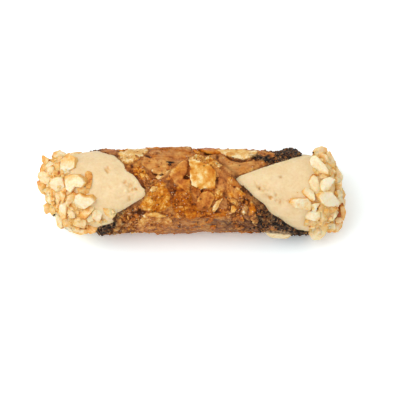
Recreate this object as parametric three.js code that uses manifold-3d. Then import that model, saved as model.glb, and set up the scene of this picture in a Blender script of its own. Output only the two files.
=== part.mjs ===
// A filled cannolo lying on its side: a wrapped pastry tube with a flaky crust and slanted mouths, and
// the cream that runs through it and swells out of both mouths, where it carries a coat of chopped nuts.
//
// Millimetres, +Z up. X runs along the tube and -Y is the front. A turn is an angle about the tube, in
// degrees: 0 faces the front, 90 the top, 180 the back and 270 the underside.

import * as THREE from "three";
import { ConvexGeometry } from "three/addons/geometries/ConvexGeometry.js";
import { LoftGeometry } from "three/addons/geometries/LoftGeometry.js";
import { mergeVertices } from "three/addons/utils/BufferGeometryUtils.js";
import Module from "manifold-3d";

const { degToRad, euclideanModulo, lerp, seededRandom, smoothstep } = THREE.MathUtils;

// Driving dimensions of the pastry tube
const TUBE_RADIUS = 16.8; // outside, under the relief of the crust
const WALL = 2.0;
const REST_FLAT = 9.0; // width of the flat spot that the tube rests on
const AXIS_HEIGHT = Math.sqrt(TUBE_RADIUS ** 2 - (REST_FLAT / 2) ** 2);
const TUBE_AROUND = 52; // facets round the tube
const TUBE_ALONG = 30; // facets along its outside
const BORE_ALONG = 4; // facets along its plain inside

// The two mouths. Each rim starts at the tip of a notch, `tip` from the middle of the tube, and swings out
// along both sides of the notch by `slope` for each millimetre round the tube, until it levels off at
// `reach`, or at `backReach` on the far side.
const LEFT_MOUTH = {
  facing: -1,
  tip: 19.5,
  tipTurn: 63,
  tipRound: 2.0,
  above: { slope: 0.9, reach: 25 },
  below: { slope: 1.7, reach: 20 },
  backReach: 33,
};
const RIGHT_MOUTH = {
  facing: 1,
  tip: 17.4,
  tipTurn: 88,
  tipRound: 0.4,
  above: { slope: 2.6, reach: 28.5 },
  below: { slope: 1.08, reach: 34 },
  backReach: 35,
};
const LEVEL_SHARPNESS = 6; // how abruptly a rim levels off
const BACK_FROM = 100; // degrees from the tip where a rim turns into the back's
const RAGGED_RIM = 0.35;

// The dough's outer corner laps over the tube as a rounded lobe that stands proud along its edge
const LAP = { along: 3, turn: 123, slope: 2.85, round: 2.5, height: 1.3, edge: 7, fadeFrom: 35, fadeTo: 80 };

// Blisters and hollows of the fried crust
const BLISTERS = { count: 140, radius: [2.4, 5.5], height: [-0.9, 1.3], seed: 11 };

// Flakes that are baked onto the crust: the largest, then smaller ones spread by a rule
const FLAKE_THICKNESS = 1.5;
const FLAKE_PROUD = 0.7; // how far a flake's face stands above the crust under its middle
const FLAKE_FLARE = 1.12; // its underside is this much wider than its face
const LARGE_FLAKES = [
  { along: 4.1, turn: 89, length: 11.2, width: 11.6, spin: -12 },
  { along: 14.4, turn: 135, length: 24.5, width: 8.6, spin: 2 },
  { along: -23.4, turn: 118, length: 14.5, width: 9.5, spin: 24 },
  { along: -9.0, turn: 150, length: 19.0, width: 9.0, spin: -4 },
  { along: -15.2, turn: 48, length: 11.5, width: 8.5, spin: 34 },
  { along: -14.6, turn: 20, length: 15.0, width: 9.4, spin: -8 },
  { along: 5.3, turn: 51, length: 7.0, width: 6.4, spin: 60 },
  { along: 17.4, turn: 67, length: 8.6, width: 5.6, spin: -52 },
  { along: -14.0, turn: 92, length: 7.0, width: 4.4, spin: -4 },
  { along: 36.5, turn: 330, length: 9.4, width: 4.6, spin: 8 },
];
const SMALL_FLAKES = { count: 20, length: [5, 9.5], share: [0.55, 0.9], clear: 8.5, rimClear: 5, seed: 29 };
const FLAKE_SIDES = 7;

// Driving dimensions of the cream
const FIT_GAP = 0.3; // between the cream and the bore round it
const MOUTH_GAP = 0.6; // along the tube, between the cream and a rim
const CREAM_RADIUS = 16.6; // where it swells out of a mouth, level with the pastry
const CREAM_AROUND = 40;
const DOME_STEPS = 9;
// A dome's power is 1 for a round end, and less for one that is squarer at the shoulder
const LEFT_CREAM = {
  mouth: LEFT_MOUTH,
  shoulder: 45.5,
  end: 60,
  power: 0.77,
  lean: 0.23,
  nutsFrom: 46,
  dip: 12.5,
};
const RIGHT_CREAM = {
  mouth: RIGHT_MOUTH,
  shoulder: 48,
  end: 60,
  power: 0.58,
  lean: 0,
  nutsFrom: 44,
  dip: 0,
};
const LEAN_TURN = 155; // the side of a dome that leans outwards
const DIP_TURN = 18; // where a coat of nuts reaches furthest in
const DIP_SPREAD = 34;

// Chopped nuts, each a chip with eight uneven corners
const NUTS = { spacing: 4.6, attempts: 2600, seed: 5, sunk: 0.36, rimClear: 4.6, floorClear: 2.2 };
const NUT_SIZE = { length: [4.2, 7.4], width: [3.2, 5.2], thickness: [2.3, 3.6] };
const NUT_UNEVEN = 0.3; // share of its half size that a corner may wander
const NUT_TILT = 32;

const WELD = 1e-4;
const FLOOR_SIZE = 300;

const wasm = await Module();
wasm.setup();

// A random number between the two ends of a range.
function between([low, high]) {
  return lerp(low, high, seededRandom());
}

// An angle brought into -180 to 180.
function signedTurn(turn) {
  return euclideanModulo(turn + 180, 360) - 180;
}

// The unit vector that points out of the tube at a turn.
function outward(turn) {
  const angle = degToRad(turn);
  return new THREE.Vector3(0, -Math.cos(angle), Math.sin(angle));
}

// A point at a place along the tube, a turn and a distance from its axis.
function pointAt(along, turn, radius) {
  const point = outward(turn).multiplyScalar(radius);
  point.x = along;
  point.z += AXIS_HEIGHT;
  return point;
}

// A closed geometry as a solid that can be cut and joined.
function toSolid(geometry) {
  const bare = new THREE.BufferGeometry().copy(geometry);
  bare.deleteAttribute("normal");
  bare.deleteAttribute("uv");
  const welded = mergeVertices(bare, WELD);
  const vertProperties = welded.attributes.position.array;
  const triVerts = new Uint32Array(welded.index.array);
  return new wasm.Manifold(new wasm.Mesh({ numProp: 3, vertProperties, triVerts }));
}

// The largest body of a solid, which leaves out loose scraps and fills hollows that are sealed.
function mainBody(solid) {
  return solid.decompose().reduce((kept, body) => (body.volume() > kept.volume() ? body : kept));
}

// A solid as a geometry again.
function toGeometry(solid) {
  const { vertProperties, triVerts } = solid.getMesh();
  const geometry = new THREE.BufferGeometry();
  geometry.setAttribute("position", new THREE.BufferAttribute(vertProperties, 3));
  geometry.setIndex(new THREE.BufferAttribute(triVerts, 1));
  geometry.computeVertexNormals();
  return geometry;
}

// A placement whose Z points out of the food, X lies along the tube, turned by spin and then tipped by tilt.
function placement(point, normal, spin, tilt = 0) {
  const side = new THREE.Vector3().crossVectors(normal, new THREE.Vector3(1, 0, 0)).normalize();
  const along = new THREE.Vector3().crossVectors(side, normal);
  const frame = new THREE.Matrix4().makeBasis(along, side, normal).setPosition(point);
  const turned = new THREE.Matrix4().makeRotationZ(degToRad(spin));
  return frame.multiply(turned).multiply(new THREE.Matrix4().makeRotationX(degToRad(tilt)));
}

// Distance from the middle of the tube to a mouth's rim at a turn.
function rimReach(mouth, turn) {
  const off = signedTurn(turn - mouth.tipTurn);
  const side = off > 0 ? mouth.above : mouth.below;
  const arc = degToRad(Math.abs(off)) * TUBE_RADIUS;
  const rise = side.slope * (Math.hypot(arc, mouth.tipRound) - mouth.tipRound);
  const level = lerp(side.reach, mouth.backReach, smoothstep(Math.abs(off), BACK_FROM, 180));
  const soft = (rise ** LEVEL_SHARPNESS + level ** LEVEL_SHARPNESS) ** (1 / LEVEL_SHARPNESS);
  const swing = (rise * level) / soft;
  const angle = degToRad(turn);
  return mouth.tip + swing + RAGGED_RIM * (Math.sin(9 * angle) + Math.sin(17 * angle + mouth.facing));
}

// Blisters at seeded places over the tube.
function scatterBlisters() {
  seededRandom(BLISTERS.seed);
  return Array.from({ length: BLISTERS.count }, () => ({
    along: between([-52, 52]),
    turn: between([0, 360]),
    radius: between(BLISTERS.radius),
    height: between(BLISTERS.height),
  }));
}

// How far the lapped corner of the dough stands proud.
function lapHeight(along, turn) {
  const edge = LAP.turn - LAP.slope * (Math.hypot(along - LAP.along, LAP.round) - LAP.round);
  const inside = signedTurn(edge - turn);
  return LAP.height * smoothstep(inside, 0, LAP.edge) * (1 - smoothstep(inside, LAP.fadeFrom, LAP.fadeTo));
}

const blisters = scatterBlisters();

// Radius of the crust's surface, without its flakes.
function crustRadius(along, turn) {
  let radius = TUBE_RADIUS + lapHeight(along, turn);
  for (const blister of blisters) {
    const round = degToRad(signedTurn(turn - blister.turn)) * TUBE_RADIUS;
    const spread = Math.hypot(along - blister.along, round) / blister.radius;
    radius += blister.height * Math.exp(-2 * spread ** 2);
  }
  return radius;
}

// A ring of points round the tube, a share of the way from the left rim to the right one.
function tubeRing(share, overhang, radiusAt) {
  return Array.from({ length: TUBE_AROUND }, (_, i) => {
    const turn = (-360 * i) / TUBE_AROUND;
    const left = -rimReach(LEFT_MOUTH, turn) - overhang;
    const right = rimReach(RIGHT_MOUTH, turn) + overhang;
    const along = lerp(left, right, share);
    return pointAt(along, turn, radiusAt(along, turn));
  });
}

// A tube with both slanted mouths: its outside from left to right, then its bore back again.
function tubeSolid(outerRadiusAt, boreRadius, overhang) {
  const rings = [];
  for (let i = 0; i <= TUBE_ALONG; i += 1) rings.push(tubeRing(i / TUBE_ALONG, overhang, outerRadiusAt));
  for (let i = BORE_ALONG; i >= 0; i -= 1) rings.push(tubeRing(i / BORE_ALONG, overhang, () => boreRadius));
  rings.push(rings[0]);
  return toSolid(new LoftGeometry(rings));
}

// A thin, uneven plate baked onto the crust.
function flakeSolid({ along, turn, length, width, spin }) {
  const corners = [];
  for (let i = 0; i < FLAKE_SIDES; i += 1) {
    const angle = (2 * Math.PI * (i + 0.5 * seededRandom())) / FLAKE_SIDES;
    const share = between([0.42, 0.56]);
    const x = length * share * Math.cos(angle);
    const y = width * share * Math.sin(angle);
    corners.push(new THREE.Vector3(x, y, FLAKE_PROUD));
    corners.push(new THREE.Vector3(x * FLAKE_FLARE, y * FLAKE_FLARE, FLAKE_PROUD - FLAKE_THICKNESS));
  }
  const point = pointAt(along, turn, crustRadius(along, turn));
  return toSolid(new ConvexGeometry(corners).applyMatrix4(placement(point, outward(turn), spin)));
}

// Smaller flakes over the rest of the crust, clear of the rims, the large flakes and each other.
function scatterFlakes() {
  const placed = [...LARGE_FLAKES];
  seededRandom(SMALL_FLAKES.seed);
  while (placed.length < LARGE_FLAKES.length + SMALL_FLAKES.count) {
    const turn = between([-60, 240]);
    const along = between([
      SMALL_FLAKES.rimClear - rimReach(LEFT_MOUTH, turn),
      rimReach(RIGHT_MOUTH, turn) - SMALL_FLAKES.rimClear,
    ]);
    const point = pointAt(along, turn, TUBE_RADIUS);
    const distances = placed.map((flake) => point.distanceTo(pointAt(flake.along, flake.turn, TUBE_RADIUS)));
    if (Math.min(...distances) < SMALL_FLAKES.clear) continue;
    const length = between(SMALL_FLAKES.length);
    const width = length * between(SMALL_FLAKES.share);
    placed.push({ along, turn, length, width, spin: between([0, 180]) });
  }
  return placed;
}

// Everything below the floor, which the flat spot is cut with.
function floorSolid() {
  const block = new THREE.BoxGeometry(FLOOR_SIZE, FLOOR_SIZE, FLOOR_SIZE);
  return toSolid(block.translate(0, 0, -FLOOR_SIZE / 2));
}

// The crisp tube with its crust, lapped corner and flakes.
function shellSolid() {
  const bare = tubeSolid(crustRadius, TUBE_RADIUS - WALL, 0);
  const clear = tubeSolid(() => 2 * TUBE_RADIUS, TUBE_RADIUS - WALL, 0);
  const flakes = scatterFlakes().map((flake) => flakeSolid(flake).intersect(clear));
  return mainBody(flakes.reduce((shell, flake) => shell.add(flake), bare).subtract(floorSolid()));
}

// Outline of one end of the cream from its pole to its shoulder: distance from the middle, and radius.
function endOutline({ shoulder, end, power }) {
  const outline = [];
  for (let i = 0; i <= DOME_STEPS; i += 1) {
    const angle = (Math.PI / 2) * (i / DOME_STEPS);
    const along = shoulder + (end - shoulder) * Math.cos(angle) ** power;
    outline.push(new THREE.Vector2(along, CREAM_RADIUS * Math.sin(angle) ** power));
  }
  outline[0].y = 0;
  return outline;
}

// How far a dome's surface is pushed along the tube where its end leans.
function leanAt({ shoulder, end, lean }, distance, turn, radius) {
  const share = smoothstep(distance, shoulder - 6, end);
  return lean * share * radius * Math.cos(degToRad(turn - LEAN_TURN));
}

// The cream as it would stand without the pastry round it.
function creamBody() {
  const rings = [];
  for (const cream of [LEFT_CREAM, RIGHT_CREAM]) {
    const outline = endOutline(cream).slice(1);
    const half = outline.map(({ x, y }) =>
      Array.from({ length: CREAM_AROUND }, (_, i) => {
        const turn = (-360 * i) / CREAM_AROUND;
        return pointAt(cream.mouth.facing * (x + leanAt(cream, x, turn, y)), turn, y);
      }),
    );
    rings.push(...(cream.mouth.facing < 0 ? half : half.reverse()));
  }
  return toSolid(new LoftGeometry(rings, { capStart: true, capEnd: true }));
}

// Distance from the middle where an end's coat of nuts begins.
function nutsFrom({ nutsFrom: start, dip }, turn) {
  return start - dip * Math.exp(-((signedTurn(turn - DIP_TURN) / DIP_SPREAD) ** 2));
}

// Places on one end of the cream, spread evenly over its coat and clear of the pastry and the floor.
function scatterNuts(cream) {
  const { facing } = cream.mouth;
  const innermost = new THREE.Vector2(nutsFrom(cream, DIP_TURN), CREAM_RADIUS);
  const profile = new THREE.SplineCurve([...endOutline(cream), innermost]);
  const placed = [];
  for (let attempt = 0; attempt < NUTS.attempts; attempt += 1) {
    const turn = between([0, 360]);
    const share = seededRandom();
    const { x: distance, y: radius } = profile.getPointAt(share);
    const tangent = profile.getTangentAt(share);
    const along = facing * (distance + leanAt(cream, distance, turn, radius));
    const point = pointAt(along, turn, radius);
    const normal = outward(turn).multiplyScalar(-tangent.x);
    normal.x = facing * tangent.y;
    const start = Math.max(nutsFrom(cream, turn), rimReach(cream.mouth, turn) + NUTS.rimClear);
    const crowded = placed.some((nut) => nut.point.distanceTo(point) < NUTS.spacing);
    if (distance < start || crowded || point.z < NUTS.floorClear) continue;
    placed.push({ point, normal });
  }
  return placed;
}

// One chip: a block with wandering corners, lying on the cream and sunk a little into it.
function nutSolid({ point, normal }) {
  const size = [NUT_SIZE.length, NUT_SIZE.width, NUT_SIZE.thickness].map(between);
  const half = new THREE.Vector3(...size).divideScalar(2);
  const corners = [];
  for (const x of [-1, 1]) {
    for (const y of [-1, 1]) {
      for (const z of [-1, 1]) {
        const wander = () => 1 - NUT_UNEVEN * seededRandom();
        corners.push(new THREE.Vector3(x * wander(), y * wander(), z * wander()).multiply(half));
      }
    }
  }
  const chip = new ConvexGeometry(corners).translate(0, 0, half.z * (1 - 2 * NUTS.sunk));
  const spin = between([0, 180]);
  const tilt = between([-NUT_TILT, NUT_TILT]);
  return toSolid(chip.applyMatrix4(placement(point, normal, spin, tilt)));
}

// The filling with its coat of chips, fitted inside the tube.
function creamSolid() {
  const pastryRoom = tubeSolid(() => 2 * TUBE_RADIUS, TUBE_RADIUS - WALL - FIT_GAP, MOUTH_GAP);
  seededRandom(NUTS.seed);
  const chips = [LEFT_CREAM, RIGHT_CREAM].flatMap(scatterNuts).map(nutSolid);
  const coated = chips.reduce((cream, chip) => cream.add(chip), creamBody());
  return mainBody(coated.subtract(pastryRoom).subtract(floorSolid()));
}

// One named piece of the food.
function piece(name, solid, color, roughness) {
  const material = new THREE.MeshStandardMaterial({ color, roughness, metalness: 0 });
  const mesh = new THREE.Mesh(toGeometry(solid), material);
  mesh.name = name;
  return mesh;
}

const cannolo = new THREE.Group();
cannolo.add(piece("pastry_shell", shellSolid(), 0xb5763a, 0.55));
cannolo.add(piece("nut_coated_cream", creamSolid(), 0xf0d6a4, 0.6));

// The origin is on the floor, under the middle of the whole.
const extent = new THREE.Box3().setFromObject(cannolo);
const middle = extent.getCenter(new THREE.Vector3());
for (const mesh of cannolo.children) mesh.position.set(-middle.x, -middle.y, 0);

export default cannolo;
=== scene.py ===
"""A filled cannolo lying on its side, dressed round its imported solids.

Sizes in the classes are millimetres and meshes are metres. X runs along the tube, -Y is the front and +Z is
up. A turn is an angle about the tube in degrees: 0 faces the front, 90 the top, 180 the back and 270 the
underside. A pixel is a place in the 400 by 400 photograph.
"""

import logging
import math
import random
from collections.abc import Sequence
from dataclasses import dataclass
from enum import Enum

import bmesh
import bpy
import numpy as np
from mathutils import Matrix, Vector, noise
from mathutils.bvhtree import BVHTree


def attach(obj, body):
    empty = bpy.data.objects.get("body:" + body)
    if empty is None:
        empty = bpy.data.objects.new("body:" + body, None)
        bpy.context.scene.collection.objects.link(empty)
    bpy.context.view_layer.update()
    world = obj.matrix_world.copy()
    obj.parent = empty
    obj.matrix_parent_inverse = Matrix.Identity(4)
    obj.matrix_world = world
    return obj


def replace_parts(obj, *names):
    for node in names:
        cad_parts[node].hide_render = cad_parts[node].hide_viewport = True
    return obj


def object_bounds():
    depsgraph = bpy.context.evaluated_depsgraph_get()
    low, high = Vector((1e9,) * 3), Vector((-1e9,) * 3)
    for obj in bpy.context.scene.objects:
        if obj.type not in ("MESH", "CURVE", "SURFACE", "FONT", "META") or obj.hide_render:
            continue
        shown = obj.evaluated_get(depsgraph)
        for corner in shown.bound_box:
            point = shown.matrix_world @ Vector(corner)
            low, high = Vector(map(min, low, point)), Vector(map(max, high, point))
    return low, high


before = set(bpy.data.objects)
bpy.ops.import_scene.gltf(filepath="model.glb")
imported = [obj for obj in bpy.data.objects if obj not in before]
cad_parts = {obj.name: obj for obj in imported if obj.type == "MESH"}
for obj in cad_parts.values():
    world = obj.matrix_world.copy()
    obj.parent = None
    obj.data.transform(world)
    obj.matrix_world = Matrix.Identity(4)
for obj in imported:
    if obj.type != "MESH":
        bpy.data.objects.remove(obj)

CAD_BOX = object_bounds()
MM = 0.001
BODY = "root"
WELD = 1e-6
LOG = logging.getLogger("cannolo")
ACROSS = Vector((1.0, 0.0, 0.0))

# Short names for types: a place in the photograph, a range or other pair, a shade of 0 to 255 and the like
Pixel = tuple[float, float]
Pair = tuple[float, float]
Triple = tuple[float, float, float]
Shade = tuple[int, int, int]
Ramp = tuple[tuple[float, Shade], ...]
Array = np.ndarray
Mesh = bmesh.types.BMesh
Piece = bpy.types.Object
Material = bpy.types.Material
Node = bpy.types.Node
Socket = bpy.types.NodeSocket


class Slot(Enum):
    """Material slots of the record."""

    CRUST = "crust"
    CREAM = "cream"
    NUTS = "nuts"


class Solid(Enum):
    """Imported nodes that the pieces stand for."""

    SHELL = "pastry_shell"
    CREAM = "nut_coated_cream"


class Fried(Enum):
    """How dark a flake has fried, from 0, dark brown, to 1, pale."""

    CREAMY = 1.0
    PALE = 0.82
    GOLDEN = 0.7
    HONEY = 0.6
    ORANGE = 0.48


class Nut(Enum):
    """How a chip of nut is toasted, from 0, amber, to 1, ivory; the darkest stands for painted shade in a
    gap.
    """

    IVORY = 0.9
    PALE = 0.8
    TAN = 0.7
    GOLDEN = 0.55
    AMBER = 0.34
    SHADED_GAP = 0.0


def lerp(low: Array, high: Array, share: Array) -> Array:
    """Goes from low to high by a share of the way."""
    return low + (high - low) * share


def ease(value: Array, low: float, high: float) -> Array:
    """Goes smoothly from 0 at low to 1 at high."""
    share = np.clip((value - low) / (high - low), 0.0, 1.0)
    return share * share * (3.0 - 2.0 * share)


def signed_turn(turn: Array) -> Array:
    """Brings an angle into -180 to 180."""
    return np.mod(turn + 180.0, 360.0) - 180.0


def fractal(points: Array, size: float, octaves: int = 3, salt: float = 0.0) -> Array:
    """Smooth random numbers about 0 over points, with lumps of a size and finer layers on them."""
    shifted = (points / size + salt).tolist()
    return np.array([noise.fractal(point, 1.0, 2.0, octaves) for point in shifted])


def wander(points: Array, size: float, octaves: int, salts: Sequence[float]) -> Array:
    """Random shifts of points, with one column for each salt."""
    return np.stack([fractal(points, size, octaves, salt) for salt in salts], axis=1)


def coordinates(vertices: Sequence[object]) -> Array:
    """The places of vertices, one row each."""
    return np.array([vertex.co[:] for vertex in vertices])


def outline_depth(outline: Sequence[Pixel], places: Array) -> Array:
    """How far places lie within an outline.

    Args:
        outline: the corners, in order.
        places: flat places, one row each.

    Returns:
        The distance of each place from the outline, negative outside it.
    """
    corners = np.array(outline, dtype=float)
    nearest = np.full(len(places), np.inf)
    inside = np.zeros(len(places), dtype=bool)
    for first, second in zip(corners, np.roll(corners, -1, axis=0)):
        side = second - first
        away = places - first
        share = np.clip(away @ side / (side @ side), 0, 1)
        nearest = np.minimum(nearest, np.linalg.norm(away - share[:, None] * side, axis=1))
        level = (places[:, 1] < first[1]) != (places[:, 1] < second[1])
        crossing = first[0] + away[:, 1] * side[0] / (side[1] if side[1] else 1.0)
        inside ^= level & (places[:, 0] < crossing)
    return np.where(inside, nearest, -nearest)


@dataclass(frozen=True)
class Scraps:
    """A layer of ragged scraps, as of dough stuck to dough, at some points.

    Edge is the distance from a scrap's edge, number the scrap's own random number from 0 to 1, and lean how
    far up the scrap's slope a point is, all in widths of a scrap.
    """

    edge: Array
    number: Array
    lean: Array

    def lumps(self, flank: float) -> Array:
        """Rounded lumps, one on each scrap, from 0 at its edge to 1."""
        return ease(self.edge, 0.0, flank)


def scraps(points: Array, size: float, salt: float, ragged: float = 0.32) -> Scraps:
    """Splits space into ragged scraps.

    Args:
        points: places in millimetres, one row each.
        size: width of a scrap.
        salt: makes the layer its own.
        ragged: how far the edges wander.

    Returns:
        The layer at those points.
    """
    warp = wander(points, size * 0.6, 2, [salt + 7.3 * axis for axis in range(3)])
    spots = points / size + salt + ragged * warp
    found = [noise.voronoi(spot) for spot in spots.tolist()]
    edge = np.array([distances[1] - distances[0] for distances, _ in found])
    centres = np.array([centres[0] for _, centres in found])
    numbers = [np.mod(np.sin(centres @ np.array(key)) * 43758.5453, 1.0) for key in SCRAP_KEYS]
    leans = np.stack(numbers[1:], axis=1) - 0.5
    return Scraps(edge, numbers[0], np.sum((spots - centres) * leans, axis=1))


# Directions that turn a scrap's centre into its four random numbers
SCRAP_KEYS = ((12.9, 78.2, 37.7), (39.3, 11.1, 83.2), (73.1, 52.2, 9.2), (26.7, 93.9, 61.4))


@dataclass(frozen=True)
class PhotoView:
    """The photograph's view: a long lens, level with the tube and well above it."""

    pixels: int = 400
    mm_per_pixel: float = 0.41
    elevation: float = 65.0
    lens: float = 150.0
    sensor: float = 36.0
    middle_pixel: Pixel = (191.2, 188.4)

    @property
    def back(self) -> Array:
        """Direction from the food to the lens."""
        angle = math.radians(self.elevation)
        return np.array((0.0, -math.cos(angle), math.sin(angle)))

    @property
    def up(self) -> Array:
        """Direction that is upwards in the picture."""
        angle = math.radians(self.elevation)
        return np.array((0.0, math.sin(angle), math.cos(angle)))

    @property
    def distance(self) -> float:
        """Distance from the lens to the plane in which a pixel has its stated size."""
        return self.pixels * self.mm_per_pixel * self.lens / self.sensor

    @property
    def eye(self) -> Array:
        """Where the lens is, so that the middle of the food shows at its pixel.

        Returns:
            The place in millimetres.
        """
        lowest, highest = (np.array(corner) / MM for corner in CAD_BOX)
        across = (self.pixels / 2 - self.middle_pixel[0]) * self.mm_per_pixel
        down = (self.pixels / 2 - self.middle_pixel[1]) * self.mm_per_pixel
        aside = np.array((across, 0.0, 0.0)) - self.up * down
        return (lowest + highest) / 2 + aside + self.back * self.distance

    def project(self, points: Array) -> Array:
        """Pixels at which points show.

        Args:
            points: places in millimetres, one row each.

        Returns:
            One row of two for each point.
        """
        seen = points - self.eye
        scale = self.pixels * self.lens / self.sensor / -(seen @ self.back)
        across = self.pixels / 2 + seen[:, 0] * scale
        down = self.pixels / 2 - (seen @ self.up) * scale
        return np.stack((across, down), axis=1)

    def direction(self, pixel: Pixel) -> Array:
        """Direction from the lens through a pixel.

        Args:
            pixel: a place in the photograph.

        Returns:
            A vector of length 1.
        """
        share = self.sensor / self.lens / self.pixels
        across = (pixel[0] - self.pixels / 2) * share
        down = (pixel[1] - self.pixels / 2) * share
        ray = np.array((across, 0.0, 0.0)) - self.up * down - self.back
        return ray / np.linalg.norm(ray)

    def make_camera(self) -> None:
        """Sets up the scene's camera."""
        data = bpy.data.cameras.new("photo_camera")
        data.lens = self.lens
        data.sensor_width = self.sensor
        camera = bpy.data.objects.new("photo_camera", data)
        camera.location = Vector(self.eye) * MM
        camera.rotation_mode = "QUATERNION"
        camera.rotation_quaternion = Vector(-self.back).to_track_quat("-Z", "Y")
        bpy.context.scene.collection.objects.link(camera)
        bpy.context.scene.camera = camera


@dataclass(frozen=True)
class Swing:
    """How one side of a rim swings out from the tip of its notch, per millimetre round, and how far."""

    slope: float
    reach: float


@dataclass(frozen=True)
class Bite:
    """A place where a rim stands back from its even line, or out where the depth is negative."""

    turn: float
    spread: float
    depth: float

    def cut(self, turn: Array) -> Array:
        """How far the rim stands back at some angles."""
        return self.depth * np.exp(-((signed_turn(turn - self.turn) / self.spread) ** 2))


@dataclass(frozen=True)
class Mouth:
    """One slanted mouth of the tube, with a notch in its rim."""

    facing: int
    tip: float
    tip_turn: float
    tip_round: float
    above: Swing
    below: Swing
    back_reach: float
    bites: tuple[Bite, ...]
    radius: float = 16.8
    sharpness: float = 6.0
    back_from: float = 100.0
    ragged: float = 0.35

    def reach(self, turn: Array) -> Array:
        """Distance from the middle of the tube to the rim.

        Args:
            turn: angles about the tube in degrees.

        Returns:
            One distance for each angle.
        """
        off = signed_turn(turn - self.tip_turn)
        slope = np.where(off > 0, self.above.slope, self.below.slope)
        side = np.where(off > 0, self.above.reach, self.below.reach)
        arc = np.radians(np.abs(off)) * self.radius
        rise = slope * (np.hypot(arc, self.tip_round) - self.tip_round)
        level = lerp(side, self.back_reach, ease(np.abs(off), self.back_from, 180.0))
        swing = rise * level / (rise**self.sharpness + level**self.sharpness) ** (1 / self.sharpness)
        angle = np.radians(turn)
        bitten = sum(bite.cut(turn) for bite in self.bites)
        ragged = self.ragged * (np.sin(9 * angle) + np.sin(17 * angle + self.facing))
        return self.tip + swing - bitten + ragged


@dataclass(frozen=True)
class Tube:
    """The form that pastry and cream share: a lying tube with a mouth at each end."""

    radius: float = 16.8
    wall: float = 2.0
    rest_flat: float = 9.0
    aside: Pair = (0.65, -0.09)
    left: Mouth = Mouth(
        -1, 19.5, 60.5, 2.0, Swing(0.9, 25.0), Swing(1.7, 20.0), 33.0,
        (Bite(14.0, 9.0, 5.6), Bite(53.0, 8.0, 1.2), Bite(119.0, 11.0, 2.2)),
    )
    right: Mouth = Mouth(
        1, 17.0, 82.5, 0.4, Swing(2.7, 27.0), Swing(1.03, 34.0), 35.0, (Bite(0.0, 12.0, 0.6),),
    )

    @property
    def axis_height(self) -> float:
        """Height of the tube's axis over the floor."""
        return math.sqrt(self.radius**2 - (self.rest_flat / 2) ** 2)

    def outward(self, turn: Array) -> Array:
        """Unit vectors that point out of the tube."""
        angle = np.radians(turn)
        return np.stack((np.zeros_like(angle), -np.cos(angle), np.sin(angle)), axis=-1)

    def point(self, along: Array, turn: Array, radius: Array) -> Array:
        """Places on or about the tube.

        Args:
            along: distances from its middle, towards the right.
            turn: angles about it.
            radius: distances from its axis.

        Returns:
            One row of three for each place.
        """
        points = self.outward(turn) * np.asarray(radius)[..., None]
        points[..., 0] += np.asarray(along) + self.aside[0]
        points[..., 1] += self.aside[1]
        points[..., 2] += self.axis_height
        return points

    def meet(self, view: PhotoView, pixel: Pixel, radius: float) -> Pair:
        """Where the view through a pixel first meets a round tube.

        Args:
            view: the photograph's view.
            pixel: a place in the photograph.
            radius: the round tube's radius.

        Returns:
            The distance along the tube and the turn.
        """
        ray = view.direction(pixel)
        start = view.eye - np.array((*self.aside, self.axis_height))
        square = ray[1] ** 2 + ray[2] ** 2
        half = ray[1] * start[1] + ray[2] * start[2]
        rest = start[1] ** 2 + start[2] ** 2 - radius**2
        step = (-half - math.sqrt(max(half**2 - square * rest, 0.0))) / square
        spot = start + ray * step
        return float(spot[0]), math.degrees(math.atan2(spot[2], -spot[1]))


@dataclass(frozen=True)
class Patch:
    """A soft oval of the photograph in which the food looks different."""

    pixel: Pixel
    size: Pixel
    spin: float = 0.0
    amount: float = 1.0

    def mask(self, pixels: Array) -> Array:
        """The patch's strength at some pixels, from 0 to its amount.

        Args:
            pixels: places in the photograph, one row each.

        Returns:
            One strength for each.
        """
        angle = math.radians(self.spin)
        away = pixels - np.array(self.pixel)
        across = (away[:, 0] * math.cos(angle) - away[:, 1] * math.sin(angle)) / self.size[0]
        down = (away[:, 0] * math.sin(angle) + away[:, 1] * math.cos(angle)) / self.size[1]
        return self.amount * np.exp(-((across**2 + down**2) ** 1.5))


def patchwork(patches: Sequence[Patch], view: PhotoView, points: Array, normals: Array) -> Array:
    """Sums patches over the side of a surface that the photograph shows.

    Args:
        patches: soft ovals of the photograph.
        view: the photograph's view.
        points: places on the surface.
        normals: directions that the surface faces.

    Returns:
        The sum at each place, 0 on the far side.
    """
    pixels = view.project(points)
    shown = ease(normals @ view.back, -0.15, 0.15)
    return shown * sum(patch.mask(pixels) for patch in patches)


class Heap:
    """Collects many small meshes into one piece, with numbers for their vertices."""

    def __init__(self, name: str) -> None:
        """Starts an empty piece of that name."""
        self.name = name
        self.mesh = bmesh.new()
        self.numbers: dict[str, list[Array]] = {}

    def add(self, part: Mesh, **numbers: Array | float) -> None:
        """Adds a small mesh and frees it.

        Args:
            part: the mesh, in metres and in place.
            numbers: a number for each vertex or for all, by name.
        """
        for name, value in numbers.items():
            filled = np.broadcast_to(np.asarray(value, dtype=np.float32), (len(part.verts),))
            self.numbers.setdefault(name, []).append(filled)
        carrier = bpy.data.meshes.new("part")
        part.to_mesh(carrier)
        part.free()
        self.mesh.from_mesh(carrier)
        bpy.data.meshes.remove(carrier)

    def piece(self, smooth: bool) -> Piece:
        """Makes the piece.

        Args:
            smooth: whether its faces are shaded smooth.

        Returns:
            The new object, at the origin.
        """
        made = new_piece(self.name, self.mesh, smooth)
        for name, values in self.numbers.items():
            layer = made.data.attributes.new(name, "FLOAT", "POINT")
            layer.data.foreach_set("value", np.concatenate(values))
        return made


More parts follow.
